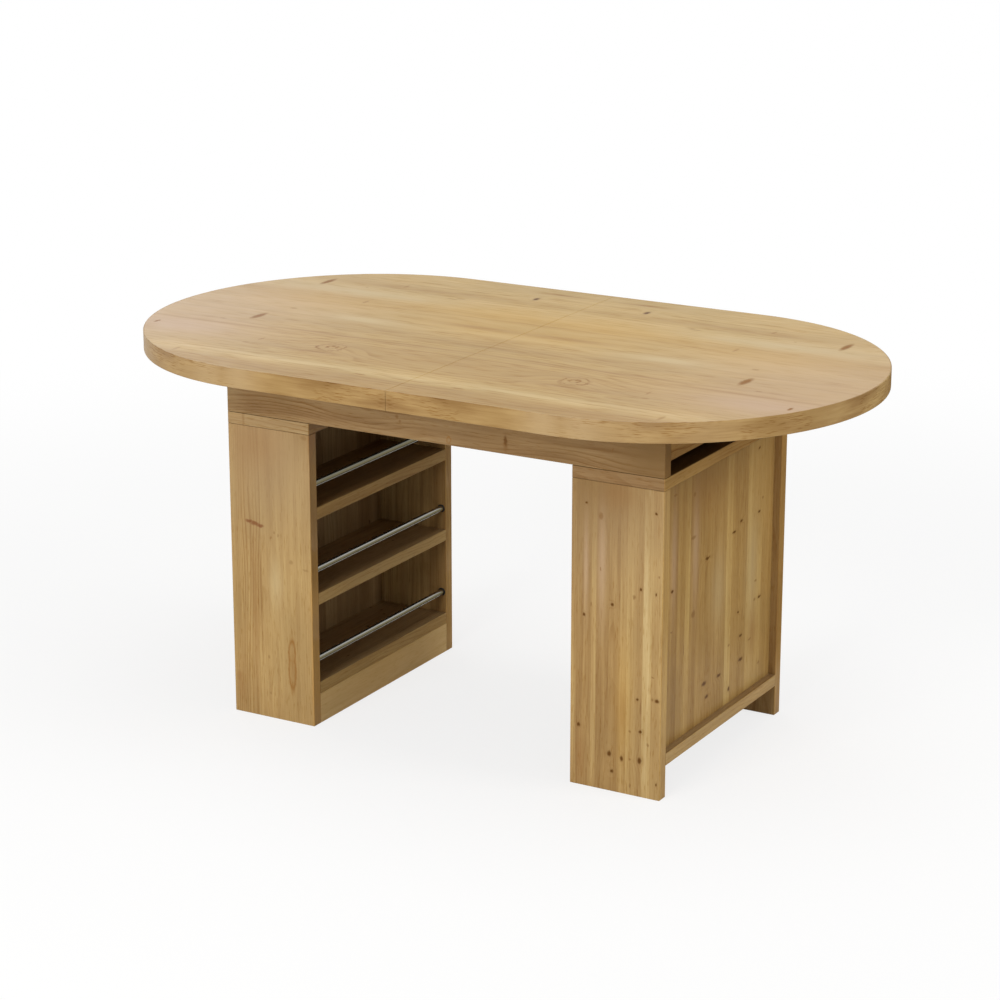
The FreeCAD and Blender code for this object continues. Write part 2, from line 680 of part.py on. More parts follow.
for row in (-1, 1):
    pilots = [(f"{half} * {x}", "0", f"{TOP_UNDERSIDE} - dims.bracket_hole_rise")
              for half in (-1, 1) for x in ("dims.bracket_inner", "dims.bracket_outer")]
    aprons[row].drill(face_towards((0, -row, 0)), pilots, "dims.plate_screw_diameter",
                      "dims.plate_screw_length")


# ---------------------------------------------------------------- the two cabinets

def make_cabinet(side, sign):
    """One cabinet, worked out on the right; row -1 is the panel at negative Y before the turn."""
    panels = {}
    for row in (-1, 1):
        name = "front" if sign * row < 0 else "rear"
        panels[row] = Board(f"{side}_{name}_panel", ("dims.cabinet_width", BOARD, CAP_BOTTOM),
                            (CABINET_X, f"{row} * {PANEL_Y}", "0"), sign)
    cap = Board(f"{side}_cap", ("dims.cabinet_width", "dims.base_depth", BOARD),
                (CABINET_X, "0", CAP_BOTTOM), sign)
    shelves = {
        "bottom": Board(f"{side}_bottom_shelf", ("dims.cabinet_width", INNER_DEPTH, BOARD),
                        (CABINET_X, "0", BOTTOM_SHELF_BOTTOM), sign, "Y"),
    }
    for name in ("middle", "upper"):
        shelves[name] = Board(f"{side}_{name}_shelf", (SHELF_WIDTH, INNER_DEPTH, BOARD),
                              (SHELF_X, "0", f"(dims.{name}_shelf_top - dims.board)"), sign, "Y")
    plinth = Board(f"{side}_plinth", (BOARD, INNER_DEPTH, BOTTOM_SHELF_BOTTOM),
                   (CROSS_RAIL_X, "0", "0"), sign, "Y")
    back_height = f"({CAP_BOTTOM} - dims.bottom_shelf_top + 2 * dims.groove_depth)"
    back_foot = "(dims.bottom_shelf_top - dims.groove_depth)"
    back_size = ("dims.back_thickness", f"{INNER_DEPTH} + 2 * dims.groove_depth", back_height)
    Board(f"{side}_back_board", back_size, (BACK_BOARD_X, "0", back_foot), sign, "")
    cut_back_grooves(panels, cap, shelves["bottom"], back_foot)
    join_shelves(side, sign, panels, shelves)
    join_cap(side, sign, panels, cap)
    join_plinth(side, sign, panels, plinth)
    fit_guard_rails(side, sign, panels)


def cut_back_grooves(panels, cap, bottom_shelf, back_foot):
    near = f"{BACK_BOARD_X} - dims.back_thickness / 2"
    far = f"{BACK_BOARD_X} + dims.back_thickness / 2"
    for row, panel in panels.items():
        panel.groove(face_towards((0, -row, 0)), (near, "0", back_foot), (far, "0", CAP_BOTTOM),
                     "dims.groove_depth")
    ends = f"{INNER_Y} + dims.groove_depth"
    cap.groove("-Z", (near, f"-({ends})", "0"), (far, ends, "0"), "dims.groove_depth")
    bottom_shelf.groove("+Z", (near, f"-{INNER_Y}", "0"), (far, INNER_Y, "0"), "dims.groove_depth")


def join_shelves(side, sign, panels, shelves):
    """Each shelf hangs on two cam bolts and a dowel at each end, with the locks in its underside."""
    for shelf in shelves.values():
        middle_z = f"{shelf.middle[2]} + {HALF_BOARD}"
        for row in (-1, 1):
            into = (0, -row, 0)
            joint_y = f"{row} * {INNER_Y}"
            bolts = [(f"{SHELF_X} + {step} * dims.cam_spread", joint_y, middle_z) for step in (-1, 1)]
            cam_joint(side, panels[row], shelf, bolts, into, (0, 0, 1), sign)
            dowel_joint(f"{side}_dowels", panels[row], shelf, [(SHELF_X, joint_y, middle_z)], into, sign)


def join_cap(side, sign, panels, cap):
    """The cap is pulled down on the panels, and the frame stands on the cap."""
    for row in (-1, 1):
        panel_y = f"{row} * {PANEL_Y}"
        down = (0, 0, -1)
        bolts = [(f"{SHELF_X} + {step} * dims.cam_spread", panel_y, CAP_BOTTOM) for step in (-1, 1)]
        cam_joint(side, cap, panels[row], bolts, down, (0, row, 0), sign)
        dowel_joint(f"{side}_dowels", cap, panels[row], [(SHELF_X, panel_y, CAP_BOTTOM)], down, sign)
        pegs = [(f"{CABINET_X} + {step} * dims.cap_dowel_spread", panel_y, CAP_TOP)
                for step in (-1, 1)]
        cap.drill("+Z", pegs, "dims.dowel_diameter", "dims.dowel_short")
        apron_pegs = [half_turned(peg, sign) for peg in pegs]
        aprons[sign * row].drill("-Z", apron_pegs, "dims.dowel_diameter", "dims.dowel_long")
        for peg in pegs:
            add_fitting(f"{side}_dowels", DOWEL, peg, sign)
    screws = [(CROSS_RAIL_X, f"{step} * dims.cap_screw_pitch" if step else "0", CAP_BOTTOM)
              for step in (-1, 0, 1)]
    cap.drill("-Z", screws, "dims.cap_screw_diameter", BOARD)
    countersink(cap, screws)
    rail_screws = [half_turned(screw, sign) for screw in screws]
    rails[f"cross_rail_{side}"].drill("-Z", rail_screws, "dims.cap_screw_diameter",
                                      "dims.cap_screw_length - dims.board")
    for screw in screws:
        add_fitting(f"{side}_cap_screws", CAP_SCREW, screw, sign)


def countersink(board, points):
    """Cone-shaped seats for countersunk heads in a board's underside."""
    for point in points:
        cone = board.body.newObject("PartDesign::SubtractiveCone", f"{board.body.Name}_countersink")
        cone.setExpression("Radius1", "dims.cap_screw_head / 2")
        cone.setExpression("Radius2", "dims.cap_screw_diameter / 2")
        cone.setExpression("Height", "dims.cap_screw_head_height")
        x, y = board.on_face("-Z", point)
        cone.setExpression("Placement.Base.x", x)
        cone.setExpression("Placement.Base.y", y)


def join_plinth(side, sign, panels, plinth):
    for row in (-1, 1):
        pegs = [(CROSS_RAIL_X, f"{row} * {INNER_Y}", "dims.dowel_inset"),
                (CROSS_RAIL_X, f"{row} * {INNER_Y}", f"{BOTTOM_SHELF_BOTTOM} - dims.dowel_inset")]
        dowel_joint(f"{side}_dowels", panels[row], plinth, pegs, (0, -row, 0), sign)


def fit_guard_rails(side, sign, panels):
    """A steel tube in front of each shelf, its ends in sockets in the two panels."""
    half_length = f"({INNER_Y} + dims.socket_depth - dims.socket_floor)"
    outer, bore = "dims.rail_diameter / 2", "(dims.rail_diameter / 2 - dims.rail_wall)"
    for name, shelf in (("lower", "bottom"), ("middle", "middle"), ("upper", "upper")):
        rail_z = f"dims.{shelf}_shelf_top + dims.rail_rise"
        rail = turned(f"{side}_{name}_guard_rail", [
            (bore, f"-{half_length}"),
            (outer, f"-{half_length}"),
            (outer, half_length),
            (bore, half_length),
        ])
        place(rail, GUARD_RAIL_X, "0", rail_z, sign, towards((0, 1, 0)))
        for row in (-1, 1):
            into = (0, -row, 0)
            mouth = (GUARD_RAIL_X, f"{row} * {INNER_Y}", rail_z)
            panels[row].drill(face_towards(into), [mouth], "dims.socket_diameter", "dims.socket_depth")
            add_fitting(f"{side}_rail_sockets", SOCKET, mouth, sign, towards(into))


for side, sign in (("left", -1), ("right", 1)):
    make_cabinet(side, sign)


# ---------------------------------------------------------------- groups, checks and export

for label, copies in groups.items():
    group = doc.addObject("Part::Compound", label)
    group.Label = label
    group.Links = copies

doc.recompute()

MASTERS = {body.Name for body in (DOWEL, CAM_BOLT, CAM_LOCK, PAN_SCREW, CAP_SCREW, SOCKET, BRACKET, PLATE,
                                  SEAM_DOWEL)}

for item in doc.Objects:
    if "Invalid" in item.State or "Error" in item.State:
        raise RuntimeError(f"{item.Label} failed: {item.State}")
    if item.TypeId in ("PartDesign::Pocket", "PartDesign::SubtractiveCone"):
        removed = item.BaseFeature.Shape.Volume - item.Shape.Volume
        if removed <= 0:
            raise RuntimeError(f"{item.Label} removes nothing")

nodes = [item for item in doc.Objects
         if item.TypeId in ("PartDesign::Body", "Part::Compound") and item.Name not in MASTERS]
for node in nodes:
    if node.Shape.isNull() or not node.Shape.isValid():
        raise RuntimeError(f"{node.Label} has no valid shape")

os.makedirs("parts", exist_ok=True)
for node in nodes:
    node.Shape.exportStep(f"parts/{node.Label}.step")
    print(f"{node.Label}: {len(node.Shape.Solids)} solid(s), {node.Shape.Volume / 1000:.1f} cm3")
print(f"{len(nodes)} nodes")
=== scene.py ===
# %% [markdown]
# # A pine kitchen table on two shelf cabinets
# The shape of every board, rail and screw comes from the CAD model, which already has the right
# size. This lesson gives that model its looks: a camera, a plain studio, and the finishes of knotty
# pine under a satin lacquer, polished steel, black plastic, beech and zinc. Each step says what the
# real thing is, how it could be made in Blender, and why it is made this way.

# %% Load the table
import math
import random

import bpy
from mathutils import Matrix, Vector


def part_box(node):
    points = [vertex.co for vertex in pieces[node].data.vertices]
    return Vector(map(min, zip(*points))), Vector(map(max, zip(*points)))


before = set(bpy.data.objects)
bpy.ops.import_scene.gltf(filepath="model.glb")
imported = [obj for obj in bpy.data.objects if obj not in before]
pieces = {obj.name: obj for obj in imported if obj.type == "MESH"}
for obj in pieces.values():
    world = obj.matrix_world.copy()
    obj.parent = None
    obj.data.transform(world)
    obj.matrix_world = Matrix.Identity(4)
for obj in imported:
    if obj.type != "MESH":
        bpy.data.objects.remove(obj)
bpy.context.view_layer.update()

scene = bpy.context.scene

# %% [markdown]
# ## A few small helpers
# Colours are easiest to pick as sRGB hex values, but a shader works in linear light, so one
# function turns one into the other. Every material is a node tree. A node by hand takes four lines,
# so one more function adds it, sets its properties, fills or links its inputs, and hands back the
# output that the next node needs. The last two start an empty material and put a finished one on
# its pieces.

# %% Helpers for colours, nodes and materials
def linear(code):
    """An sRGB hex colour as linear red, green, blue and alpha."""
    channels = [int(code[i:i + 2], 16) / 255 for i in (1, 3, 5)]
    return [c / 12.92 if c <= 0.04045 else ((c + 0.055) / 1.055) ** 2.4 for c in channels] + [1.0]


def add(tree, kind, inputs=(), out=0, stops=(), **settings):
    """Add a node and return one output. Inputs go by order or, in a dict, by socket."""
    item = tree.nodes.new("ShaderNode" + kind)
    for name, setting in settings.items():
        setattr(item, name, setting)
    if stops:
        ramp = item.color_ramp
        ramp.elements.remove(ramp.elements[1])
        for number, (position, colour) in enumerate(stops):
            stop = ramp.elements.new(position) if number else ramp.elements[0]
            stop.position, stop.color = position, colour
    for socket, source in inputs.items() if isinstance(inputs, dict) else enumerate(inputs):
        if isinstance(source, bpy.types.NodeSocket):
            tree.links.new(source, item.inputs[socket])
        else:
            item.inputs[socket].default_value = source
    return item.outputs[out] if item.outputs else None


def empty_material(name):
    """A new material with nothing in it yet, and its node tree."""
    material = bpy.data.materials.new(name)
    material.use_nodes = True
    material.node_tree.nodes.clear()
    return material, material.node_tree


def put_on(material, members):
    """Give pieces of the table a finished material."""
    for member in members:
        pieces[member].data.materials[0] = material
    print(f"{material.name}: {len(material.node_tree.nodes)} nodes, on {', '.join(members)}")


print("mid grey #808080 in linear light:", [round(c, 3) for c in linear("#808080")])

# %% [markdown]
# ## The camera
# A long lens from a few metres away keeps upright edges nearly parallel, as furniture is usually
# pictured. The camera could be aimed with a Track To constraint, but its turn and tilt are plain
# angles here, so the view never shifts when something else in the scene changes.

# %% Camera
CAMERA_PLACE = (2.6377, -4.6279, 2.0439)
CAMERA_TURN = 29.84
CAMERA_TILT_DOWN = 16.75
LENS_MM = 102.22
FARTHEST_SEEN = 200

camera = bpy.data.objects.new("camera", bpy.data.cameras.new("camera"))
scene.collection.objects.link(camera)
camera.location = CAMERA_PLACE
camera.rotation_euler = (math.radians(90 - CAMERA_TILT_DOWN), 0, math.radians(CAMERA_TURN))
camera.data.lens = LENS_MM
camera.data.clip_end = FARTHEST_SEEN
scene.camera = camera
scene.view_settings.view_transform = "Standard"
print(f"camera {camera.location.length:.2f} m from the middle of the floor, {LENS_MM} mm lens")

# %% [markdown]
# ## The studio
# The table stands on a white floor. White that the camera sees can't come from more light, because
# that would bleach the wood too. So the sky is white only to the camera and to shiny things that
# mirror it, and dimmer as a source of light. The floor's bounce is that of an honest matt surface.
# To the camera it also glows, fully so a few metres out, which keeps it white to the horizon and
# leaves the table a soft shadow to stand on.

# %% Floor and sky
WHITE = (1, 1, 1, 1)
SKY_LIGHT = 0.47
FLOOR_SEEN = linear("#F6F6F5")
FLOOR_BOUNCE = linear("#F0EEEA")
FLOOR_HALF = 40.0
SHADOW_STRENGTH = 0.22
SHADOW_FADES = (1.2, 3.2)
SMOOTH = {"interpolation_type": "SMOOTHSTEP"}


def seen_directly(tree):
    """1 for a ray that shows this surface to the camera, straight or in a mirror or glass."""
    path = add(tree, "LightPath").node.outputs
    direct = add(tree, "Math", [path["Is Camera Ray"], path["Is Glossy Ray"]], operation="MAXIMUM")
    return add(tree, "Math", [direct, path["Is Transmission Ray"]], operation="MAXIMUM")


world = bpy.data.worlds.new("studio")
scene.world = world
world.use_nodes = True
sky = world.node_tree
sky.nodes.clear()
white_sky = add(sky, "Background", [WHITE, 1.0])
dim_sky = add(sky, "Background", [WHITE, SKY_LIGHT])
add(sky, "OutputWorld", [add(sky, "MixShader", [seen_directly(sky), dim_sky, white_sky])])

floor_material, floor_tree = empty_material("white_studio_floor")
from_table = add(floor_tree, "VectorMath", [add(floor_tree, "TexCoord", out="Object")],
                 out="Value", operation="LENGTH")
lit = 1 - SHADOW_STRENGTH
glow = add(floor_tree, "MapRange", [from_table, *SHADOW_FADES, lit, 1.0], **SMOOTH)
matt = add(floor_tree, "BsdfDiffuse", [FLOOR_SEEN])
glowing = add(floor_tree, "Emission", [WHITE, 1.0])
seen = add(floor_tree, "MixShader", [glow, matt, glowing])
bounce = add(floor_tree, "BsdfDiffuse", [FLOOR_BOUNCE])
floor_surface = add(floor_tree, "MixShader", [seen_directly(floor_tree), bounce, seen])
add(floor_tree, "OutputMaterial", [floor_surface])


def stage_sheet(name, corners, material):
    """A flat sheet of the studio, which is not part of the table."""
    mesh = bpy.data.meshes.new(name)
    mesh.from_pydata(corners, [], [(0, 1, 2, 3)])
    mesh.materials.append(material)
    sheet = bpy.data.objects.new(name, mesh)
    scene.collection.objects.link(sheet)
    return sheet


stage_sheet("floor", [(x * FLOOR_HALF, y * FLOOR_HALF, 0)
                      for x, y in ((-1, -1), (1, -1), (1, 1), (-1, 1))], floor_material)
print(f"floor {2 * FLOOR_HALF:.0f} m square, sky strength {SKY_LIGHT}")

# %% [markdown]
# ## Softboxes
# Point lamps would give hard shadows, so large area lamps stand for a studio's softboxes. The main
# one is straight in front and low, so fronts come out lighter than ends. The right one is a little
# behind the middle: it keeps the end from going flat, while the right cabinet shields the left
# one's open side from it. One overhead lights the top, and one behind lays a sheen over it.

# %% Softboxes
TABLE_MIDDLE = (0, 0, 0.45)


def softbox(name, place, size, watts):
    """A square area lamp that is aimed at the middle of the table."""
    lamp = bpy.data.lights.new(name, "AREA")
    lamp.shape = "SQUARE"
    lamp.size = size
    lamp.energy = watts
    holder = bpy.data.objects.new(name, lamp)
    holder.location = place
    aim = Vector(TABLE_MIDDLE) - Vector(place)
    holder.rotation_euler = aim.to_track_quat("-Z", "Y").to_euler()
    scene.collection.objects.link(holder)
    print(f"{name}: {watts} W at {place}, {size} m square")


softbox("main_softbox", (-0.2, -5.0, 2.4), 2.4, 138)
softbox("right_softbox", (4.6, 0.5, 2.6), 1.4, 60)
softbox("overhead_softbox", (0.3, 0.0, 3.8), 2.4, 34)
softbox("rear_softbox", (-4.4, 3.6, 2.4), 2.4, 26)

# %% [markdown]
# ## Cards for the reflections
# A satin surface seen edge-on mirrors the pale floor, and that would wash out its colour. In a
# studio, a black card, called a flag, stands just out of sight to stop that. A polished tube
# squeezes the room into a few thin lines, which make it look like metal, so each left rail has a
# dark, a pale, a warm and a brown card to mirror. Real cards would also take light away, so these
# glow evenly and are hidden from every ray but the glossy ones: they are painted reflections.

# %% Flag and rail cards
BLACK_CARD = "#15130F"
WARM_CARD = "#B0A684"
BROWN_CARD = "#6A604A"
PALE_CARDS = {"lower": "#F5F4F4", "middle": "#F5F4F4", "upper": "#B9B6A9"}
FLAG_Y, FLAG_CORNERS = 0.52, ((0.45, 0), (1.5, 0), (1.5, 0.72), (0.45, 0.72))
CARD_PAST_RAIL = 0.12
# Each strip's two long edges, in metres out of and up from the rail's middle line.
STRIPS = [
    ("dark_over_", (-0.08, 0.045), (0.008, 0.045)),
    ("pale_over_", (0.008, 0.045), (0.06, 0.045)),
    ("warm_before_", (0.06, -0.02), (0.06, 0.045)),
    ("brown_under_", (0.06, -0.125), (0.06, -0.02)),
]


def card(name, colour, corners):
    """An evenly glowing sheet that shows only in reflections, as a painted reflection."""
    material, tree = empty_material(name)
    add(tree, "OutputMaterial", [add(tree, "Emission", [linear(colour), 1.0])])
    sheet = stage_sheet(name, corners, material)
    for ray in ("camera", "diffuse", "transmission", "volume_scatter", "shadow"):
        setattr(sheet, "visible_" + ray, False)


card("flag_behind", BLACK_CARD, [(x, FLAG_Y, z) for x, z in FLAG_CORNERS])
for level, pale_card in PALE_CARDS.items():
    rail_low, rail_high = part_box(f"left_{level}_guard_rail")
    rail_x, rail_z = (rail_low[0] + rail_high[0]) / 2, (rail_low[2] + rail_high[2]) / 2
    near, far = rail_low[1], rail_high[1] + CARD_PAST_RAIL
    colours = (BLACK_CARD, pale_card, WARM_CARD, BROWN_CARD)
    for (title, one, other), colour in zip(STRIPS, colours):
        (x_1, z_1), (x_2, z_2) = ((rail_x + out, rail_z + up) for out, up in (one, other))
        card(title + level, colour, [(x_1, near, z_1), (x_2, near, z_2),
                                     (x_2, far, z_2), (x_1, far, z_1)])
print(f"{1 + len(PALE_CARDS) * len(STRIPS)} cards that show only in reflections")

# %% [markdown]
# ## Pine, from the log outwards
# The boards are knotty pine, sawn along the log, glued side by side and lacquered. A picture of
# wood wrapped round a board would need unwrapping and would smear at the edges. A solid pattern is
# better: the shader works out where each point lay in the log, so face, edge and end grain all
# agree. The first helpers say how many millimetres along, across and into its board a point lies.

# %% Where a point lies in its board
MM_PER_M = 1000.0
AXES = "XYZ"


def millimetres(tree):
    """The point being shaded, in millimetres from the middle of the floor under the table."""
    place = add(tree, "TexCoord", out="Object")
    return add(tree, "VectorMath", [place, (MM_PER_M,) * 3], operation="MULTIPLY")


def axis_across(grain, face):
    """The axis across a board, from the axes of its grain and its face."""
    return ({*AXES} - {grain, face}).pop()


def faces_along(tree, axis):
    """1 where the surface looks along an axis, either way, and 0 elsewhere."""
    normal = add(tree, "SeparateXYZ", [add(tree, "NewGeometry", out="Normal")]).node.outputs
    facing = add(tree, "Math", [normal[axis]], operation="ABSOLUTE")
    return add(tree, "Math", [facing, 0.5], operation="GREATER_THAN")


def board_space(tree, in_mm, grain, face, mirrored, end_strips):
    """Millimetres along, across and into a board, as three outputs."""
    split = add(tree, "SeparateXYZ", [in_mm]).node.outputs
    along, across = split[grain], split[axis_across(grain, face)]
    if mirrored:
        along = add(tree, "Math", [along], operation="ABSOLUTE")
    if end_strips:
        is_end = faces_along(tree, grain)
        along, across = (add(tree, "Mix", {0: is_end, 2: usual, 3: turned})
                         for usual, turned in ((along, across), (across, along)))
    return along, across, split[face]


print("grain along X, face up: the width lies along", axis_across("X", "Z"))

# %% [markdown]
# ## Staves
# Solid pine panels are glued up from staves, narrow strips that each come from another log, so tone
# and figure change from one stave to the next. A Voronoi texture could cut random strips, but a
# colour ramp with hard stops lets each panel have its own list of widths and tones. The stops' red
# holds the tone. Green and blue hold two random numbers that later place the stave in its log, and
# alpha holds how strongly its rings show.

# %% Tones of pine and the staves of a panel
# Pine runs from brown heartwood, at 0, to pale, straw-coloured sapwood, at 1.
TONES = [
    (0.00, linear("#8C6A3F")),
    (0.25, linear("#9E7D4E")),
    (0.50, linear("#AE8E5C")),
    (0.75, linear("#BC9E69")),
    (1.00, linear("#CAB07E")),
]
STAVE_WIDTHS = (20, 42)
USUAL_TONE, TONE_SPREAD = 0.45, 0.2


def random_staves(draw, width):
    """Widths and tones of the staves of a panel that has no list of its own."""
    staves, reached = [], 0
    while reached < width:
        stave = draw.uniform(*STAVE_WIDTHS)
        staves.append((stave, min(max(draw.gauss(USUAL_TONE, TONE_SPREAD), 0.05), 0.95)))
        reached += stave
    return staves


def stave_at(tree, across, low, high, staves, draw, soft):
    """The tone at a point, two random numbers for its stave, and how much its rings show."""
    stops, reached = [], 0
    for width, tone, *rings in staves:
        share = min(reached / (high - low), 1)
        stops.append((share, (tone, draw.random(), draw.random(), *(rings or [1.0]))))
        reached += width
    share = add(tree, "MapRange", [across, low, high, 0.0, 1.0])
    ramp = add(tree, "ValToRGB", [share], stops=stops)
    ramp.node.color_ramp.interpolation = "EASE" if soft else "CONSTANT"
    return [*add(tree, "SeparateColor", [ramp]).node.outputs, ramp.node.outputs["Alpha"]]


print("a 494 mm panel has", len(random_staves(random.Random(1), 494)), "staves")

# %% [markdown]
# ## Noise and marks
# Noise that is stretched along the grain draws whatever drifts or streaks in wood. Knots and stains
# are marks at chosen places. An image could hold them, but each is only a long or round blot, so
# four numbers are enough: its place along and across the board, then half its length and half its
# width, all in millimetres.

# %% Noise and marks
# A noise lies between these two values nearly everywhere. The triples below whose names end in _MM
# are the lengths of its blotches along, across and into a board.
MOST_NOISE = (0.3, 0.7)


def stretched_noise(tree, point, lengths, detail=2.0, between=None):
    """Noise with blotches of these lengths, put between two values if they are given."""
    scaled = add(tree, "VectorMath", [point, [1 / size for size in lengths]], operation="MULTIPLY")
    noise = add(tree, "TexNoise", {"Vector": scaled, "Scale": 1.0, "Detail": detail})
    return add(tree, "MapRange", [noise, *MOST_NOISE, *between]) if between else noise


def nearest_mark(tree, point, marks):
    """Distance to the nearest mark, where 1 is that mark's own edge."""
    nearest = None
    for along, across, half_length, half_width in marks:
        squeeze = (1 / half_length, 1 / half_width, 0)
        centre = (-along / half_length, -across / half_width, 0)
        offset = add(tree, "VectorMath", [point, squeeze, centre], operation="MULTIPLY_ADD")
        distance = add(tree, "VectorMath", [offset], out="Value", operation="LENGTH")
        if nearest is not None:
            distance = add(tree, "Math", [distance, nearest], operation="MINIMUM")
        nearest = distance
    return nearest


def bell(tree, distance):
    """1 at a mark's middle, falling smoothly to nothing at about twice its size."""
    square = add(tree, "Math", [distance, distance], operation="MULTIPLY")
    minus = add(tree, "Math", [square, -1.0], operation="MULTIPLY")
    return add(tree, "Math", [math.e, minus], operation="POWER")


print(f"a stain is down to {math.exp(-1):.0%} at its own edge")

# %% [markdown]
# ## Growth rings
# A pine tree adds a wide pale band each spring and a narrow dark one each summer. A saw cuts
# straight through these sleeves, which leaves stripes where it met them steeply and arches where it
# grazed them. Blender's Wave texture draws rings, but perfect ones round one fixed axis. Here the
# pattern is the distance from the log's centre, counted in rings. A slow noise bends it, because no
# tree grows quite round, and a knot swells it, because the rings flow round a branch.

# %% Rings
SUMMER_WOOD = [(0.0, (0, 0, 0, 1)), (0.55, (0.15, 0.15, 0.15, 1)), (0.84, (1, 1, 1, 1)),
               (0.93, (1, 1, 1, 1)), (1.0, (0, 0, 0, 1))]
PITH_ASIDE = 60
TRUNK_TAPER = 0.012
BEND_MM, RIPPLE_MM = (420, 70, 70), (70, 16, 16)
RIPPLE = 0.6


def growth_rings(tree, point, along, middle, chances, ring, pith_depth, wobble, bulges):
    """How much dark summer wood shows at a point, from 0 to 1."""
    aside = (middle[0] - PITH_ASIDE, middle[0] + PITH_ASIDE)
    depth = (middle[1] - pith_depth[0], middle[1] - pith_depth[1])
    pith_across = add(tree, "MapRange", [chances[0], 0.0, 1.0, *aside])
    pith_into = add(tree, "MapRange", [chances[1], 0.0, 1.0, *depth])
    pith = add(tree, "CombineXYZ", [along, pith_across, pith_into])
    radius = add(tree, "VectorMath", [point, pith], out="Value", operation="DISTANCE")
    for lengths, most in ((BEND_MM, wobble), (RIPPLE_MM, RIPPLE)):
        wave = stretched_noise(tree, point, lengths, 1.0, between=(-most, most))
        radius = add(tree, "Math", [radius, wave], operation="ADD")
    taper = add(tree, "Math", [along, TRUNK_TAPER], operation="MULTIPLY")
    radius = add(tree, "Math", [radius, taper], operation="ADD")
    count = add(tree, "Math", [radius, ring], operation="DIVIDE")
    for bulge, rings in bulges:
        count = add(tree, "Math", [bulge, rings, count], operation="MULTIPLY_ADD")
    part = add(tree, "Math", [count], operation="FRACT")
    return add(tree, "ValToRGB", [part], stops=SUMMER_WOOD)


print(f"the darkest summer wood is {SUMMER_WOOD[3][0] - SUMMER_WOOD[2][0]:.0%} of a ring wide")

# %% [markdown]
# ## Stains, spots, resin and knots
# Stains have soft edges, faint knots and bruises are firmer spots, and a resin pocket shows as a
# broken brown outline. A knot is the stump of a branch: a dark heart in a brown halo, sunk a little
# because it dries more than the wood round it. Each could be modelled, but none stands proud of the
# board, so each is laid over the colour below it like a coat of paint.

# %% Marks laid over the wood
# A colour goes on like paint, which hides what is under it, or like a glaze, which deepens it.
PAINT = {"out": 2, "data_type": "RGBA"}
GLAZE = {**PAINT, "blend_type": "MULTIPLY"}
KNOT_HEART = linear("#5E390C")
KNOT_HALO = linear("#7F5A30")
PITCH = linear("#8E5F25")
JOINT_SHADE = linear("#33200A")
RAGGED_MM, RAGGED_BY = (9, 6, 6), (5.0, 3.0, 0.0)
SPOT_FADES = (0.4, 1.25)
OUTLINE_FADES, OUTLINE_TAIL = (0.55, 0.95), 0.8
WANDER_MM, BREAK_MM, BREAKS = (22, 14, 14), (15, 10, 10), (0.4, 0.6)
HALO_REACH, HALO_STRENGTH = 0.8, 0.35
HEART_FADES, HEART_STRENGTH, HEART_SUNK = (0.35, 1.2), 0.95, -0.3
JOINT_FADES_MM, JOINT_STRENGTH = (0.4, 1.4), 0.8


def ragged(tree, place):
    """A place pushed about a little, so that marks drawn with it get uneven edges."""
    push = stretched_noise(tree, place, RAGGED_MM, 1.0).node.outputs["Color"]
    push = add(tree, "VectorMath", [push, (0.5, 0.5, 0.5)], operation="SUBTRACT")
    return add(tree, "VectorMath", [push, RAGGED_BY, place], operation="MULTIPLY_ADD")


def stained(tree, place, colour, stains):
    """Lay soft-edged stains over the wood. Each is a colour, an amount and its marks."""
    for stain, amount, marks in stains:
        mark = bell(tree, nearest_mark(tree, place, marks))
        mark = add(tree, "Math", [mark, amount], operation="MULTIPLY")
        colour = add(tree, "Mix", {0: mark, 6: colour, 7: stain}, **PAINT)
    return colour


def spotted(tree, place, colour, spots):
    """Lay firm-edged spots over the wood. Each is a colour, an amount and its marks."""
    for spot, amount, marks in spots:
        mark = nearest_mark(tree, place, marks)
        mark = add(tree, "MapRange", [mark, *SPOT_FADES, amount, 0.0], **SMOOTH)
        colour = add(tree, "Mix", {0: mark, 6: colour, 7: spot}, **PAINT)
    return colour


def outlined_in_resin(tree, place, uneven, colour, pockets):
    """Draw broken outlines. Each is a count of rings, an amount, how far they stray, and marks."""
    for count, amount, wander, marks in pockets:
        stray = stretched_noise(tree, place, WANDER_MM, between=(-wander, wander))
        distance = nearest_mark(tree, uneven, marks)
        distance = add(tree, "Math", [distance, stray], operation="ADD")
        rounds = add(tree, "Math", [distance, count], operation="MULTIPLY")
        outline = add(tree, "Math", [rounds, 1.0], operation="PINGPONG")
        outline = add(tree, "MapRange", [outline, *OUTLINE_FADES, 0.0, amount])
        inside = add(tree, "MapRange", [distance, 1.0, 1.0 + OUTLINE_TAIL / count, 1.0, 0.0])
        outline = add(tree, "Math", [outline, inside], operation="MULTIPLY")
        broken = stretched_noise(tree, place, BREAK_MM)
        broken = add(tree, "MapRange", [broken, *BREAKS, 1 - 3 * wander, 1.0])
        outline = add(tree, "Math", [outline, broken], operation="MULTIPLY")
        colour = add(tree, "Mix", {0: outline, 6: colour, 7: PITCH}, **PAINT)
    return colour


def knotted(tree, knot, colour, relief):
    """Lay halos and dark, sunken hearts over the wood, by the distance to the nearest knot."""
    halo = bell(tree, add(tree, "Math", [knot, HALO_REACH], operation="MULTIPLY"))
    halo = add(tree, "Math", [halo, HALO_STRENGTH], operation="MULTIPLY")
    colour = add(tree, "Mix", {0: halo, 6: colour, 7: KNOT_HALO}, **PAINT)
    heart = add(tree, "MapRange", [knot, *HEART_FADES, HEART_STRENGTH, 0.0], **SMOOTH)
    colour = add(tree, "Mix", {0: heart, 6: colour, 7: KNOT_HEART}, **PAINT)
    return colour, add(tree, "Math", [heart, HEART_SUNK, relief], operation="MULTIPLY_ADD")


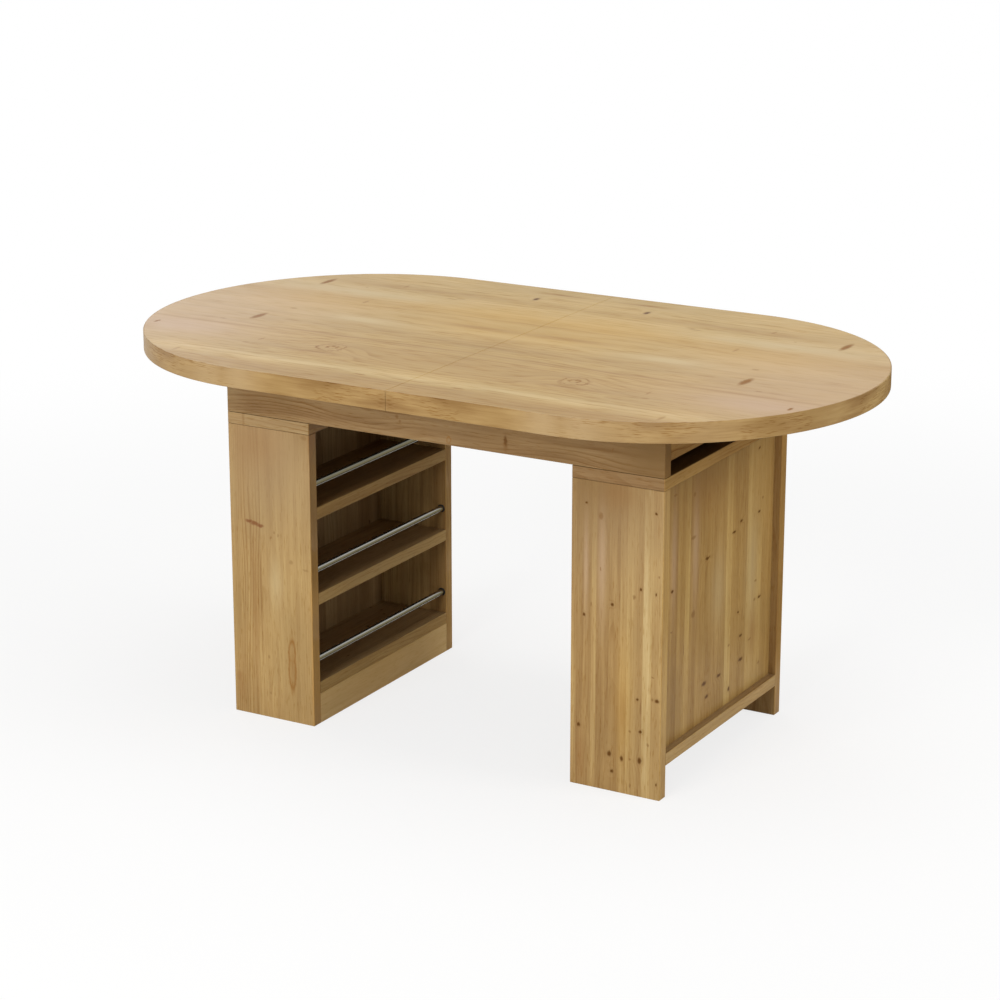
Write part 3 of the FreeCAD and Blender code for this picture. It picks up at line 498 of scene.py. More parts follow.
def joint_lines(tree, in_mm, colour, heights):
    """Draw the thin dark line of a joint at each of these heights."""
    for height in heights:
        gap = add(tree, "Math", [add(tree, "SeparateXYZ", [in_mm]).node.outputs["Z"], height],
                  operation="SUBTRACT")
        gap = add(tree, "Math", [gap], operation="ABSOLUTE")
        gap = add(tree, "MapRange", [gap, *JOINT_FADES_MM, JOINT_STRENGTH, 0.0])
        colour = add(tree, "Mix", {0: gap, 6: colour, 7: JOINT_SHADE}, **PAINT)
    return colour


print(f"a joint is drawn {2 * JOINT_FADES_MM[1]:.1f} mm wide")

# %% [markdown]
# ## The lacquered board
# The finish on the real boards is a clear satin lacquer, sprayed on and rubbed down: it deepens the
# colour a little and gives one soft sheen over light and dark wood alike. A shader can stack a coat
# layer on top of the wood, but wood and lacquer bend light almost equally, so one surface with a
# middling roughness looks the same and costs less. Fibres are far finer than a render can show, so
# they are drawn about two millimetres wide, and six on the top.

# %% Lacquer and wood tones
SUMMER_TINT = linear("#C9AD79")
FLECK_TINT = linear("#DDCBA4")
LACQUER_IOR = 1.5
LACQUER_ROUGHNESS = (0.36, 0.46)
GRAIN_RELIEF_MM, RELIEF_STRENGTH, RING_RELIEF = 0.06, 0.5, 0.5
DRIFT, DRIFT_MM, SOFT_DRIFT_MM = 0.16, (280, 15, 15), (280, 45, 45)
STREAKS, STREAK_LENGTH = 0.09, 150
FADING, FADING_MM = (0.1, 1.0), (240, 40, 40)
FLECK_LONG, FLECK_WIDE, FLECK_FADES, FLECK_STRENGTH = 9, 0.8, (0.58, 0.72), 0.6
CLOUDS, CLOUD_MM = (0.93, 1.07), (190, 90, 90)


def lacquered(tree, colour, relief, grain_noise, gloss):
    """Satin lacquer over wood, wired to the material's output."""
    rough = add(tree, "MapRange", [grain_noise, *MOST_NOISE, *LACQUER_ROUGHNESS])
    bump = {"Strength": RELIEF_STRENGTH, "Distance": GRAIN_RELIEF_MM / MM_PER_M, "Height": relief}
    surface = {"Base Color": colour, "Roughness": rough, "Normal": add(tree, "Bump", bump),
               "IOR": LACQUER_IOR, "Specular IOR Level": gloss}
    add(tree, "OutputMaterial", [add(tree, "BsdfPrincipled", surface)])


def streaked(tree, point, tone, fibre_mm, figure, soft):
    """A stave's tone with slow drifts and fine streaks along the grain."""
    drift_lengths = SOFT_DRIFT_MM if soft else DRIFT_MM
    streak_lengths = (STREAK_LENGTH, fibre_mm, fibre_mm)
    for most, lengths in ((DRIFT * figure, drift_lengths), (STREAKS * figure, streak_lengths)):
        change = stretched_noise(tree, point, lengths, between=(-most, most))
        tone = add(tree, "Math", [tone, change], operation="ADD")
    return tone


def ringed(tree, point, colour, rings, share, contrast):
    """Glaze the summer wood over a colour, stronger here and weaker there."""
    fading = stretched_noise(tree, point, FADING_MM, 1.0, between=FADING)
    for factor in (fading, share, contrast):
        rings = add(tree, "Math", [rings, factor], operation="MULTIPLY")
    return rings, add(tree, "Mix", {0: rings, 6: colour, 7: SUMMER_TINT}, **GLAZE)


def flecked(tree, point, colour, fibre_mm):
    """Glaze short fibre flecks over a colour."""
    width = FLECK_WIDE * fibre_mm
    flecks = stretched_noise(tree, point, (FLECK_LONG * fibre_mm, width, width), 1.0)
    fleck = add(tree, "MapRange", [flecks, *FLECK_FADES, 0.0, FLECK_STRENGTH])
    return flecks, add(tree, "Mix", {0: fleck, 6: colour, 7: FLECK_TINT}, **GLAZE)


print("roughness of the lacquer:", LACQUER_ROUGHNESS)

# %% [markdown]
# ## One pine board
# The wood is built up as a painter would, from the tone of the stave to rings, fibres, cloudy
# patches, and knots last. Boards differ only in numbers, so instead of one tree by hand for each,
# one function takes those numbers and lays the steps over each other in order.

# %% One pine board
STAVE_SHIFT_MM = 5000.0
MM2_PER_KNOT = 14000
KNOT_MARGIN = 28
KNOT_HALF_LENGTHS, KNOT_HALF_WIDTHS = (2.5, 5), (2, 4)
KNOT_PUSH, RINGS_PUSHED = 0.45, 1.2


def random_knots(draw, low, high):
    """Small knots over a board's face, one for each share of its area, clear of its edges."""
    count = round((high[0] - low[0]) * (high[1] - low[1]) / MM2_PER_KNOT)
    return [(draw.uniform(low[0] + KNOT_MARGIN, high[0] - KNOT_MARGIN),
             draw.uniform(low[1] + KNOT_MARGIN, high[1] - KNOT_MARGIN),
             draw.uniform(*KNOT_HALF_LENGTHS), draw.uniform(*KNOT_HALF_WIDTHS))
            for _ in range(count)]


def pine(name, grain, face, members=None, staves=None, knots=None, spots=(), pockets=(),
         stains=(), swells=(), ring=3.2, pith_depth=(25, 90), wobble=5.0, contrast=1.0,
         fibre_mm=2.4, gloss=0.12, figure=1.0, tint=None, edges=None, joints=(), soft=False,
         mirrored=False, end_strips=False):
    """Make lacquered pine for the board of this name, or for members that share it.

    The grain runs along one axis and the face looks along another. ring is a year's growth,
    pith_depth the depth of the log's centre and wobble how far the rings stray, in millimetres.
    swells are marks with the number of rings that bulge there. contrast, gloss and figure say how
    strongly rings, sheen and streaks show. tint glazes the board, and edges gives an axis with the
    change of tone and the glaze of faces that look along it. Soft staves melt into each other.
    A mirrored figure is the same on both sides of the seam, and end strips turn it at the ends.
    """
    draw = random.Random(name)
    members = members or [name]
    side = axis_across(grain, face)
    boxes = [[corner * MM_PER_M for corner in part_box(member)] for member in members]
    low = {axis: min(box[0][i] for box in boxes) for i, axis in enumerate(AXES)}
    high = {axis: max(box[1][i] for box in boxes) for i, axis in enumerate(AXES)}
    middle = ((low[side] + high[side]) / 2, low[face])
    if staves is None:
        staves = random_staves(draw, high[side] - low[side])
    if knots is None:
        knots = random_knots(draw, (low[grain], low[side]), (high[grain], high[side]))

    material, tree = empty_material("lacquered_pine_" + name)
    in_mm = millimetres(tree)
    along, across, into = board_space(tree, in_mm, grain, face, mirrored, end_strips)
    tone, *chances, share = stave_at(tree, across, low[side], high[side], staves, draw, soft)
    place = add(tree, "CombineXYZ", [along, across, into])
    if soft:
        chances = (0.5, 0.5)
    else:
        along = add(tree, "Math", [chances[0], STAVE_SHIFT_MM, along], operation="MULTIPLY_ADD")
    point = add(tree, "CombineXYZ", [along, across, into])

    uneven = ragged(tree, place)
    bulges = []
    if knots:
        knot = nearest_mark(tree, uneven, knots)
        pushed = bell(tree, add(tree, "Math", [knot, KNOT_PUSH], operation="MULTIPLY"))
        bulges.append((pushed, RINGS_PUSHED))
    for *mark, rings_more in swells:
        bulges.append((bell(tree, nearest_mark(tree, place, [mark])), rings_more))
    rings = growth_rings(tree, point, along, middle, chances, ring, pith_depth, wobble, bulges)

    tone = streaked(tree, point, tone, fibre_mm, figure, soft)
    if edges:
        edge_axis, edge_tone, edge_tint = edges
        edge = faces_along(tree, edge_axis)
        tone = add(tree, "Math", [edge, edge_tone, tone], operation="MULTIPLY_ADD")
    colour = add(tree, "ValToRGB", [tone], stops=TONES)
    if tint:
        colour = add(tree, "Mix", {0: 1.0, 6: colour, 7: tint}, **GLAZE)
    if edges:
        colour = add(tree, "Mix", {0: edge, 6: colour, 7: edge_tint}, **GLAZE)
    shown, colour = ringed(tree, point, colour, rings, share, contrast)
    flecks, colour = flecked(tree, point, colour, fibre_mm)
    light = stretched_noise(tree, place, CLOUD_MM, between=CLOUDS)
    colour = add(tree, "VectorMath", {0: colour, "Scale": light}, operation="SCALE")
    relief = add(tree, "Math", [shown, RING_RELIEF, flecks], operation="MULTIPLY_ADD")
    colour = stained(tree, uneven, colour, stains)
    colour = spotted(tree, uneven, colour, spots)
    colour = outlined_in_resin(tree, place, uneven, colour, pockets)
    if knots:
        colour, relief = knotted(tree, knot, colour, relief)
    colour = joint_lines(tree, in_mm, colour, joints)
    lacquered(tree, colour, relief, flecks, gloss)
    put_on(material, members)


print("staves are drawn up to", STAVE_SHIFT_MM / MM_PER_M, "m apart in their logs")

# %% [markdown]
# ## The tabletop
# The two halves of the top are book-matched: they are cut from one panel and opened like the pages
# of a book, so the figure on the left mirrors the right across the seam. Mirroring in the shader
# needs only the size of the distance from the seam, which is what ABSOLUTE gives. The joints of the
# wide planks hardly show, so their tones melt into each other. Spike knots, where the saw followed
# a branch, lie across the grain.

# %% Tabletop
HONEY_WOOD = linear("#C59B4E")
PALER_WOOD = linear("#C9B488")
# Used for rosy stains in the wood, and over the ends of the top partly for painted sheen.
ROSY_WOOD_AND_SHEEN = linear("#C3A68B")
# Used for darker streaks in the wood, and at the left front panel's top for painted shade.
DARKER_WOOD_AND_SHADE = linear("#93683A")
TOP_SPIKE = linear("#865500")
TOP_STAVES = [(50, 0.62), (48, 0.56), (26, 0.96), (50, 0.76), (90, 0.7), (60, 0.68), (136, 0.7),
              (60, 0.8), (86, 0.82), (30, 0.74), (60, 0.96), (50, 0.96), (80, 0.82), (63, 0.86)]
TOP_SWIRLS = [(3.0, 1.0, 0.22, [(264, -215, 28, 28)])]
TOP_SPOTS = [
    (TOP_SPIKE, 0.5, [(262, 266, 12, 3), (277, 257, 16, 3), (98, 398, 26, 3),
                      (268, -260, 26, 3), (105, -366, 14, 4)]),
    (TOP_SPIKE, 0.6, [(252, -216, 4, 5), (263, -208, 3, 6), (271, -220, 3, 6)]),
    (TOP_SPIKE, 0.35, [(516, -368, 5, 16), (420, 313, 4, 13), (416, 145, 4, 14),
                       (512, 27, 9, 6), (585, -117, 9, 4), (487, 263, 4, 3),
                       (419, -225, 3, 14), (430, -262, 8, 5)]),
    (TOP_SPIKE, 0.93, [(535, -64, 9, 30), (589, 272, 8, 32), (685, -201, 4, 11)]),
]
TOP_STAINS = [
    (HONEY_WOOD, 0.5, [(90, 190, 330, 80)]),
    (HONEY_WOOD, 0.35, [(60, 60, 200, 60), (560, 130, 180, 70)]),
    (PALER_WOOD, 0.8, [(345, 8, 95, 24), (470, 218, 200, 28)]),
    # Partly painted sheen: this rosy stain on both ends is part wood tone, part painted sheen.
    (ROSY_WOOD_AND_SHEEN, 0.5, [(700, -60, 300, 330)]),
    (ROSY_WOOD_AND_SHEEN, 0.7, [(640, -205, 130, 60)]),
    (DARKER_WOOD_AND_SHADE, 0.4, [(98, 398, 60, 8), (100, 64, 90, 11), (300, -262, 90, 7),
                        (560, -150, 170, 7)]),
    (DARKER_WOOD_AND_SHADE, 0.35, [(90, -124, 110, 4), (165, -138, 60, 4), (110, -160, 60, 3),
                         (150, -172, 70, 3), (300, -127, 130, 4)]),
    (DARKER_WOOD_AND_SHADE, 0.2, [(0, -46, 215, 34), (0, -210, 330, 70), (320, 300, 240, 24),
                        (200, -420, 520, 26)]),
]
TOP_SWELLS = [(0, -150, 240, 70, 4.0), (264, -225, 95, 60, 3.0), (420, 290, 200, 50, 2.0)]
pine("tabletop", "X", "Z", members=["tabletop_left", "tabletop_right"], staves=TOP_STAVES,
     knots=[(127, 341, 6, 12)], spots=TOP_SPOTS, pockets=TOP_SWIRLS, stains=TOP_STAINS,
     swells=TOP_SWELLS, ring=17.0, pith_depth=(160, 160), wobble=14.0, contrast=0.36,
     fibre_mm=6.0, gloss=0.06, figure=0.4, soft=True, mirrored=True)

# %% [markdown]
# ## The edge band
# The rim is covered with a strip of solid pine bent round the oval, so its grain always runs along
# the rim. Instead of following the curve, the pattern is stretched equally in both level directions
# and kept fine in height: on an upright surface that gives streaks that run level all the way
# round. Its stains are placed only by their distance from the seam, and so cover the rim's height.

# %% Edge band
PALE_RIM = linear("#B69A70")
BROWN_RIM = linear("#937241")
RIM_STAINS = [(PALE_RIM, 0.8, [(325, 0, 45, 1), (395, 0, 50, 1)]),
              (PALE_RIM, 0.3, [(490, 0, 60, 1), (590, 0, 50, 1)]),
              (BROWN_RIM, 0.4, [(145, 0, 60, 1), (225, 0, 40, 1)]),
              (BROWN_RIM, 0.6, [(675, 0, 25, 1), (718, 0, 25, 1)])]
RIM_TONES, RIM_PATCH_MM = (0.06, 0.66), (130, 130, 30)
RIM_STREAKS, RIM_STREAK_MM = (-0.14, 0.14), (90, 90, 3.6)
DASH_MM, DASH_FADES = (22, 22, 1.7), (0.54, 0.66)
DASHED_MM, DASHED_FADES, DASHED = (70, 70, 60), (0.50, 0.62), (0.1, 0.7)
RIM_GLOSS = 0.12


def pine_edging(name, members):
    """Make the rim's lacquered pine: level streaks, with patches of short dark fibre dashes."""
    material, tree = empty_material("lacquered_pine_" + name)
    split = add(tree, "SeparateXYZ", [millimetres(tree)]).node.outputs
    from_seam = add(tree, "Math", [split["X"]], operation="ABSOLUTE")
    point = add(tree, "CombineXYZ", [from_seam, split["Y"], split["Z"]])
    patches = stretched_noise(tree, point, RIM_PATCH_MM, between=RIM_TONES)
    streaks = stretched_noise(tree, point, RIM_STREAK_MM, 3.0, between=RIM_STREAKS)
    tone = add(tree, "Math", [patches, streaks], operation="ADD")
    colour = add(tree, "ValToRGB", [tone], stops=TONES)
    colour = stained(tree, add(tree, "CombineXYZ", [from_seam]), colour, RIM_STAINS)
    dashes = stretched_noise(tree, point, DASH_MM, 1.0)
    dash = add(tree, "MapRange", [dashes, *DASH_FADES, 0.0, 1.0])
    dashed = stretched_noise(tree, point, DASHED_MM, 0.0)
    dashed = add(tree, "MapRange", [dashed, *DASHED_FADES, *DASHED])
    dash = add(tree, "Math", [dash, dashed], operation="MULTIPLY")
    colour = add(tree, "Mix", {0: dash, 6: colour, 7: SUMMER_TINT}, **GLAZE)
    lacquered(tree, colour, dashes, dashes, RIM_GLOSS)
    put_on(material, members)


pine_edging("edge_band", ["edge_band_left", "edge_band_right"])

# %% [markdown]
# ## The frame
# Under the top, two aprons run the length of the base and five rails join them. Aprons are wide
# flat-sawn boards, so their rings show as long wavy lines with the odd knot. The rails between them
# see little light, so one plain dark stave is enough for each. The cross and centre rails get the
# darkest stave and a brown glaze as well, which is painted shade for the dark space under the top.

# %% Aprons and rails
# Used for dull stains in the wood, and near the tops of panels for painted shade.
DULL_WOOD_AND_SHADE = linear("#7E6139")
GREY_TINT = linear("#E7E8F8")
EDGE_TINT = linear("#FFF3CB")
YELLOW_TINT = linear("#FFFCEA")
SHADED_TINT = linear("#B4957F")
APRON_SPOTS = [(KNOT_HALO, 0.6, [(-87, 660, 4, 5), (-80, 652, 3, 4), (369, 659, 2, 6),
                                (147, 640, 6, 18)]),
               (KNOT_HEART, 0.7, [(147, 645, 4, 11)])]
APRON_STAINS = [(DULL_WOOD_AND_SHADE, 0.9, [(455, 670, 85, 80)]),
                (DULL_WOOD_AND_SHADE, 0.3, [(-350, 670, 35, 60), (140, 670, 60, 60), (260, 670, 90, 60)]),
                (PALER_WOOD, 0.15, [(-465, 670, 25, 60)])]
APRON_RING = [(1.0, 0.75, 0.1, [(26, 631, 5, 6)])]
APRON_SWELLS = [(-330, 618, 130, 34, 4.0), (-60, 640, 110, 22, 2.0), (250, 600, 160, 50, 2.0)]
APRON = {"staves": [(104, 0.34)], "ring": 5.0, "pith_depth": (70, 90), "wobble": 7.0,
         "contrast": 0.8, "tint": GREY_TINT, "edges": ("X", -0.1, EDGE_TINT)}
pine("apron_front", "X", "Y", knots=[], spots=APRON_SPOTS, pockets=APRON_RING,
     swells=APRON_SWELLS, stains=APRON_STAINS, **APRON)
pine("apron_back", "X", "Y", **APRON)
for name in ("end_rail_left", "end_rail_right"):
    pine(name, "Y", "X", staves=[(104, 0.12)], knots=[], ring=5.0, tint=YELLOW_TINT)
# Painted shade: the darkest tone and a brown glaze darken the cross and centre rails.
for name in ("cross_rail_left", "cross_rail_right", "centre_rail"):
    pine(name, "Y", "X", staves=[(104, 0.0)], knots=[], ring=5.0, tint=SHADED_TINT)

# %% [markdown]
# ## The cabinets' front panels
# Each cabinet is two panels, a cap, three shelves, a back board and a plinth. The panels that face
# the room have staves, knots and stains of their own. The left one is glued from a few wide, calm
# staves, whose third number turns their rings down, and it has a spike knot and a resin pocket.

# %% Left front panel
SPIKE_KNOT = linear("#7A4526")
GREYER_WOOD = linear("#A58C6A")
# Painted light: a pale colour for the open edge of the left front panel.
PAINTED_EDGE_LIGHT = linear("#BC9355")
LEFT_FRONT_STAVES = [(24, 0.52, 0.5), (46, 0.48, 0.7), (60, 0.54, 0.2), (58, 0.56, 0.15)]
LEFT_FRONT_SPOTS = [
    (KNOT_HALO, 0.35, [(384, -363, 4, 3), (388, -372, 3, 3), (376, -380, 3, 4), (589, -299, 5, 8),
                       (333, -334, 5, 5), (322, -300, 3, 8), (128, -391, 4, 3), (52, -389, 4, 3)]),
    (SPIKE_KNOT, 0.75, [(403, -430, 4, 10), (400, -417, 5, 12), (397, -405, 4, 10)]),
    (DARKER_WOOD_AND_SHADE, 0.4, [(75, -464, 14, 7)]),
]
LEFT_FRONT_POCKETS = [(1.0, 0.75, 0.05, [(144, -336, 26, 7.5), (107, -336, 36, 8)])]
LEFT_FRONT_STAINS = [
    (GREYER_WOOD, 0.65, [(560, -380, 170, 150)]),
    (PALER_WOOD, 0.45, [(284, -371, 48, 15)]),
    (DARKER_WOOD_AND_SHADE, 0.35, [(560, -410, 60, 60)]),
    (DARKER_WOOD_AND_SHADE, 0.15, [(455, -445, 90, 12)]),
    # Painted shade: darker at the top of the panel by the open edge, under the cap and top.
    (DULL_WOOD_AND_SHADE, 0.35, [(610, -300, 60, 35)]),
    (DARKER_WOOD_AND_SHADE, 0.3, [(200, -420, 170, 6), (50, -458, 40, 10)]),
    (PITCH, 0.4, [(121, -336, 46, 7)]),
    # Painted light: the open edge is made paler towards the floor, as if lit from below.
    (PAINTED_EDGE_LIGHT, 0.9, [(90, -286, 130, 4), (248, -286, 50, 4)]),
    # Painted shade: the top of the open edge is darker, under the cap.
    (DARKER_WOOD_AND_SHADE, 0.6, [(600, -286, 50, 4)]),
]
pine("left_front_panel", "Z", "Y", staves=LEFT_FRONT_STAVES, knots=[], spots=LEFT_FRONT_SPOTS,
     pockets=LEFT_FRONT_POCKETS, stains=LEFT_FRONT_STAINS, swells=[(250, -476, 170, 16, 2.5)],
     ring=5.0, pith_depth=(30, 60), wobble=7.0, edges=("X", -0.25, EDGE_TINT))

# %% [markdown]
# The right front panel is glued from many narrow staves, dark and light side by side. Its small pin
# knots, where side shoots left the trunk, are dark where they are sound and elsewhere faint.

# %% Right front panel
WARM_TINT = linear("#FFF8DC")
PANEL = {"ring": 3.8, "pith_depth": (30, 120)}
RIGHT_FRONT_STAVES = [(11, 0.5), (15, 0.26), (16, 0.36), (10, 0.66), (26, 0.32), (24, 0.38),
                      (14, 0.5), (13, 0.68), (20, 0.54), (17, 0.8), (22, 0.6)]
RIGHT_FRONT_KNOTS = [
    (553, 317, 3, 3), (553, 459, 3, 3), (405, 430, 4, 3), (400, 461, 4, 2), (366, 372, 4, 4),
    (338, 314, 4, 3), (191, 426, 3, 3), (195, 466, 4, 5), (129, 433, 4, 4), (119, 304, 5, 4),
    (74, 369, 7, 5), (69, 395, 6, 4), (72, 432, 7, 5), (40, 375, 5, 4), (31, 467, 4, 2),
]
RIGHT_FRONT_FAINT = [
    (388, 417, 5, 4), (240, 457, 2, 4), (196, 457, 3, 3), (126, 411, 3, 3), (106, 449, 4, 3),
    (71, 412, 3, 3), (19, 413, 5, 2), (532, 347, 8, 5), (431, 347, 4, 2), (360, 328, 5, 2),
    (434, 467, 3, 2), (176, 433, 18, 1.5),
]
RIGHT_FRONT_STAINS = [
    (GREYER_WOOD, 0.4, [(560, 380, 150, 150)]),
    (ROSY_WOOD_AND_SHEEN, 0.45, [(440, 317, 90, 5), (450, 350, 110, 8)]),
    (HONEY_WOOD, 0.35, [(170, 397, 130, 16)]),
    (DARKER_WOOD_AND_SHADE, 0.5, [(60, 308, 50, 8), (580, 380, 30, 40)]),
    # Painted shade: the panel darkens towards its top, under the cap and the top's overhang.
    (DULL_WOOD_AND_SHADE, 0.7, [(620, 325, 110, 60)]),
    (DULL_WOOD_AND_SHADE, 0.4, [(620, 420, 110, 60)]),
    (PITCH, 0.3, [(165, 396, 45, 9)]),
]
pine("right_front_panel", "Z", "Y", staves=RIGHT_FRONT_STAVES, knots=RIGHT_FRONT_KNOTS,
     spots=[(KNOT_HALO, 0.6, RIGHT_FRONT_FAINT)], stains=RIGHT_FRONT_STAINS, contrast=0.3,
     edges=("X", 0.0, WARM_TINT), **PANEL)

# %% [markdown]
# ## Back boards and rear panels
# The right cabinet turns its back board to the end of the table, where it shows as much as a front
# and so has its own staves and knots. Boards that hardly show draw theirs at random, seeded with
# the board's name, so every run gives the same ones. Those inside the shelf spaces share one list
# of darker staves, as painted shade for the dim inside of the cabinets.

# %% Back boards and rear panels
RIGHT_BACK_STAVES = [(48, 0.46), (22, 0.3), (33, 0.42), (20, 0.64), (26, 0.3), (38, 0.34),
                     (48, 0.38), (44, 0.42), (24, 0.7), (34, 0.44), (34, 0.44), (24, 0.74),
                     (44, 0.6), (55, 0.46)]
RIGHT_BACK_KNOTS = [
    (570, 171, 3, 5), (443, 97, 3, 7), (440, 177, 3, 6), (429, 65, 3, 9), (409, -50, 3, 11),
    (386, -197, 3, 6), (264, 187, 3, 8), (260, 91, 3, 5), (199, -224, 3, 9), (208, 105, 3, 8),
    (160, -55, 5, 11), (156, 10, 4, 10), (159, 107, 4, 11), (130, -42, 4, 8), (114, 56, 6, 5),
]
RIGHT_BACK_FAINT = [
    (568, -190, 3, 8), (366, -232, 3, 4), (307, -198, 2, 6), (302, 168, 3, 6), (264, 165, 4, 5),
    (249, 110, 14, 2), (205, 52, 3, 5), (188, 147, 3, 7), (126, 191, 4, 5), (465, 192, 3, 5),
    (549, -110, 5, 6), (315, -108, 8, 10), (466, -112, 4, 12), (256, -145, 14, 2), (60, 10, 6, 4),
]
RIGHT_BACK_STAINS = [
    (ROSY_WOOD_AND_SHEEN, 0.4, [(450, -192, 110, 12), (450, -102, 120, 14)]),
    (PALER_WOOD, 0.35, [(330, 0, 80, 30), (330, 150, 110, 26)]),
    (DARKER_WOOD_AND_SHADE, 0.4, [(560, -60, 60, 70), (200, 160, 40, 20)]),
    # Painted shade: the board darkens along its top, under the cap and the top's overhang.
    (DULL_WOOD_AND_SHADE, 0.55, [(600, 0, 110, 400)]),
    (DULL_WOOD_AND_SHADE, 0.35, [(160, -185, 100, 45)]),
]
pine("right_back_board", "Z", "X", staves=RIGHT_BACK_STAVES, knots=RIGHT_BACK_KNOTS,
     spots=[(KNOT_HALO, 0.6, RIGHT_BACK_FAINT)], stains=RIGHT_BACK_STAINS, contrast=0.4,
     figure=0.8, gloss=0.08, tint=YELLOW_TINT, **PANEL)

# Painted shade: inside the shelf spaces the staves are darker than outside.
INNER_WIDTH, INNER_SEED = 560, 7
INNER_STAVES = [(width, 0.1 + 0.7 * tone)
                for width, tone in random_staves(random.Random(INNER_SEED), INNER_WIDTH)]
pine("left_back_board", "Z", "X", staves=INNER_STAVES, contrast=0.5, tint=GREY_TINT, **PANEL)
# Painted shade: the left rear panel's last stave, by the open side, is dark for the shade inside.
REAR_STAVES = {"left": [(34, 0.62), (28, 0.7), (32, 0.58), (30, 0.6), (24, 0.36), (40, 0.14)],
               "right": [(33, 0.34), (26, 0.22), (35, 0.28), (24, 0.38), (36, 0.24), (34, 0.3)]}
for side, rear_edge in (("left", 0.28), ("right", 0.0)):
    pine(side + "_rear_panel", "Z", "Y", staves=REAR_STAVES[side], knots=[], contrast=0.5,
         edges=("X", rear_edge, WARM_TINT), **PANEL)

# %% [markdown]
# ## Caps, plinths and shelves
# A cap's ends are covered with strips whose grain runs across them, and a thin dark joint shows
# over and under each cap. Shelves have staves like the back board's, and the upper shelves are
# shifted darker as painted shade under the cap. The paler strip along the open edge is partly
# paler wood and partly painted light. A second material could colour that edge, but a shift of
# tone keeps the grain whole.

# %% Caps, plinths and shelves
# A pale straw colour for the plinths, partly sapwood and partly painted light.
SAPWOOD_AND_LIGHT = linear("#E2B870")
SHELF_STAVES = 8
for side, cap_tone, cap_edge in (("left", 0.66, -0.35), ("right", 0.26, 0.3)):
    cap_faces = [corner[2] * MM_PER_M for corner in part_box(side + "_cap")]
    pine(side + "_cap", "Y", "Z", staves=[(120, cap_tone), (120, cap_tone)], knots=[], ring=5.0,
         contrast=0.6, tint=GREY_TINT, joints=cap_faces, edges=("X", cap_edge, EDGE_TINT),
         spots=[(KNOT_HALO, 0.35, [(-438, -266, 3, 12)])], end_strips=True)
    # Partly painted light: the plinths' pale straw is part sapwood, part painted floor light.
    pine(side + "_plinth", "Y", "X", staves=[(62, 0.96), (60, 1.0)], knots=[], ring=4.0,
         contrast=0.25, gloss=0.08, stains=[(SAPWOOD_AND_LIGHT, 0.5, [(0, 60, 400, 120)])])
    # Painted shade on the upper shelves, and painted light in part on every open edge.
    for level, shelf_shade, shelf_edge in (("bottom", 0.0, 0.5), ("middle", 0.0, 0.7),
                                          ("upper", -0.25, 0.65)):
        staves = [(width, max(tone + shelf_shade, 0.0))
                  for width, tone in INNER_STAVES[:SHELF_STAVES]]
        pine(f"{side}_{level}_shelf", "Y", "Z", staves=staves, ring=3.6, contrast=0.4,
             tint=GREY_TINT, edges=("X", shelf_edge, EDGE_TINT))

# %% [markdown]
# ## Polished steel rails
# The guard rails are drawn stainless steel tube. Polishing leaves hair-fine scratches along it,
# which widen its highlight across them. An anisotropic shader could do that, but scratches in bump
# and roughness also break the highlight up. Real ones are finer than a render can show, so they are
# drawn about 0.4 mm apart.

# %% Rails
SCRATCH_MM = (0.4, 60, 0.4)


def worked(tree, pattern, dark, pale, rough, strength, depth_mm):
    """Let one pattern shade a surface, roughen it and raise it, as tools and moulds do."""
    shade = add(tree, "MapRange", [pattern, *MOST_NOISE, 0.0, 1.0])
    colour = add(tree, "ValToRGB", [shade], stops=[(0, linear(dark)), (1, linear(pale))])
    bump = {"Strength": strength, "Distance": depth_mm / MM_PER_M, "Height": pattern}
    return {"Base Color": colour, "Normal": add(tree, "Bump", bump),
            "Roughness": add(tree, "MapRange", [pattern, *MOST_NOISE, *rough])}


def finish(name, members, make):
    """Build a material with make and put it on some pieces."""
    material, tree = empty_material(name)
    surface = make(tree, millimetres(tree))
    add(tree, "OutputMaterial", [add(tree, "BsdfPrincipled", surface)])
    put_on(material, members)


def polished_steel(tree, point):
    """Polished stainless steel: a warm grey mirror with a faint lengthwise haze."""
    scratches = stretched_noise(tree, point, SCRATCH_MM)
    surface = worked(tree, scratches, "#96958F", "#A9A8A2", (0.14, 0.22), 0.1, 0.02)
    return {**surface, "Metallic": 1.0}


finish("polished_stainless_steel", [f"{side}_{level}_guard_rail" for side in ("left", "right")
                                    for level in ("lower", "middle", "upper")], polished_steel)

# %% [markdown]
# ## Black sockets
# Each rail ends in a ring of moulded ABS. The mould's spark-eroded face leaves a fine grain, so the
# ring reads as a soft black rather than a glossy one. One flat colour would look like a hole. The
# real grain is far finer than the 0.7 mm that it is drawn at.

# %% Sockets
MOULD_GRAIN_MM = (0.7, 0.7, 0.7)
ABS_IOR = 1.5


def moulded_plastic(tree, point):
    """Moulded black ABS: soft black with a dull sheen."""
    grains = stretched_noise(tree, point, MOULD_GRAIN_MM)
    surface = worked(tree, grains, "#141312", "#1E1D1B", (0.38, 0.52), 0.4, 0.03)
    return {**surface, "IOR": ABS_IOR}


finish("moulded_black_abs", ["left_rail_sockets", "right_rail_sockets"], moulded_plastic)

# %% [markdown]
# ## Zinc fittings
# Cam fittings and screws are plated with bright zinc, and brackets and plates are cut from
# galvanised sheet. Plating grows as an even film, slightly cloudy, and noise can draw that. A
# dipped sheet freezes in flat crystals that each mirror the light their own way. A Voronoi texture
# makes those, because it gives each cell one shade.

# %% Fittings, brackets and plates
ZINC_CLOUD_MM = (3, 3, 3)
CRYSTAL_MM = 7


def zinc_plate(tree, point):
    """Bright zinc over steel or die-cast zinc: blue-grey and slightly cloudy."""
    clouds = stretched_noise(tree, point, ZINC_CLOUD_MM, 3.0)
    surface = worked(tree, clouds, "#8F9396", "#B4B8BA", (0.30, 0.46), 0.3, 0.03)
    return {**surface, "Metallic": 1.0}


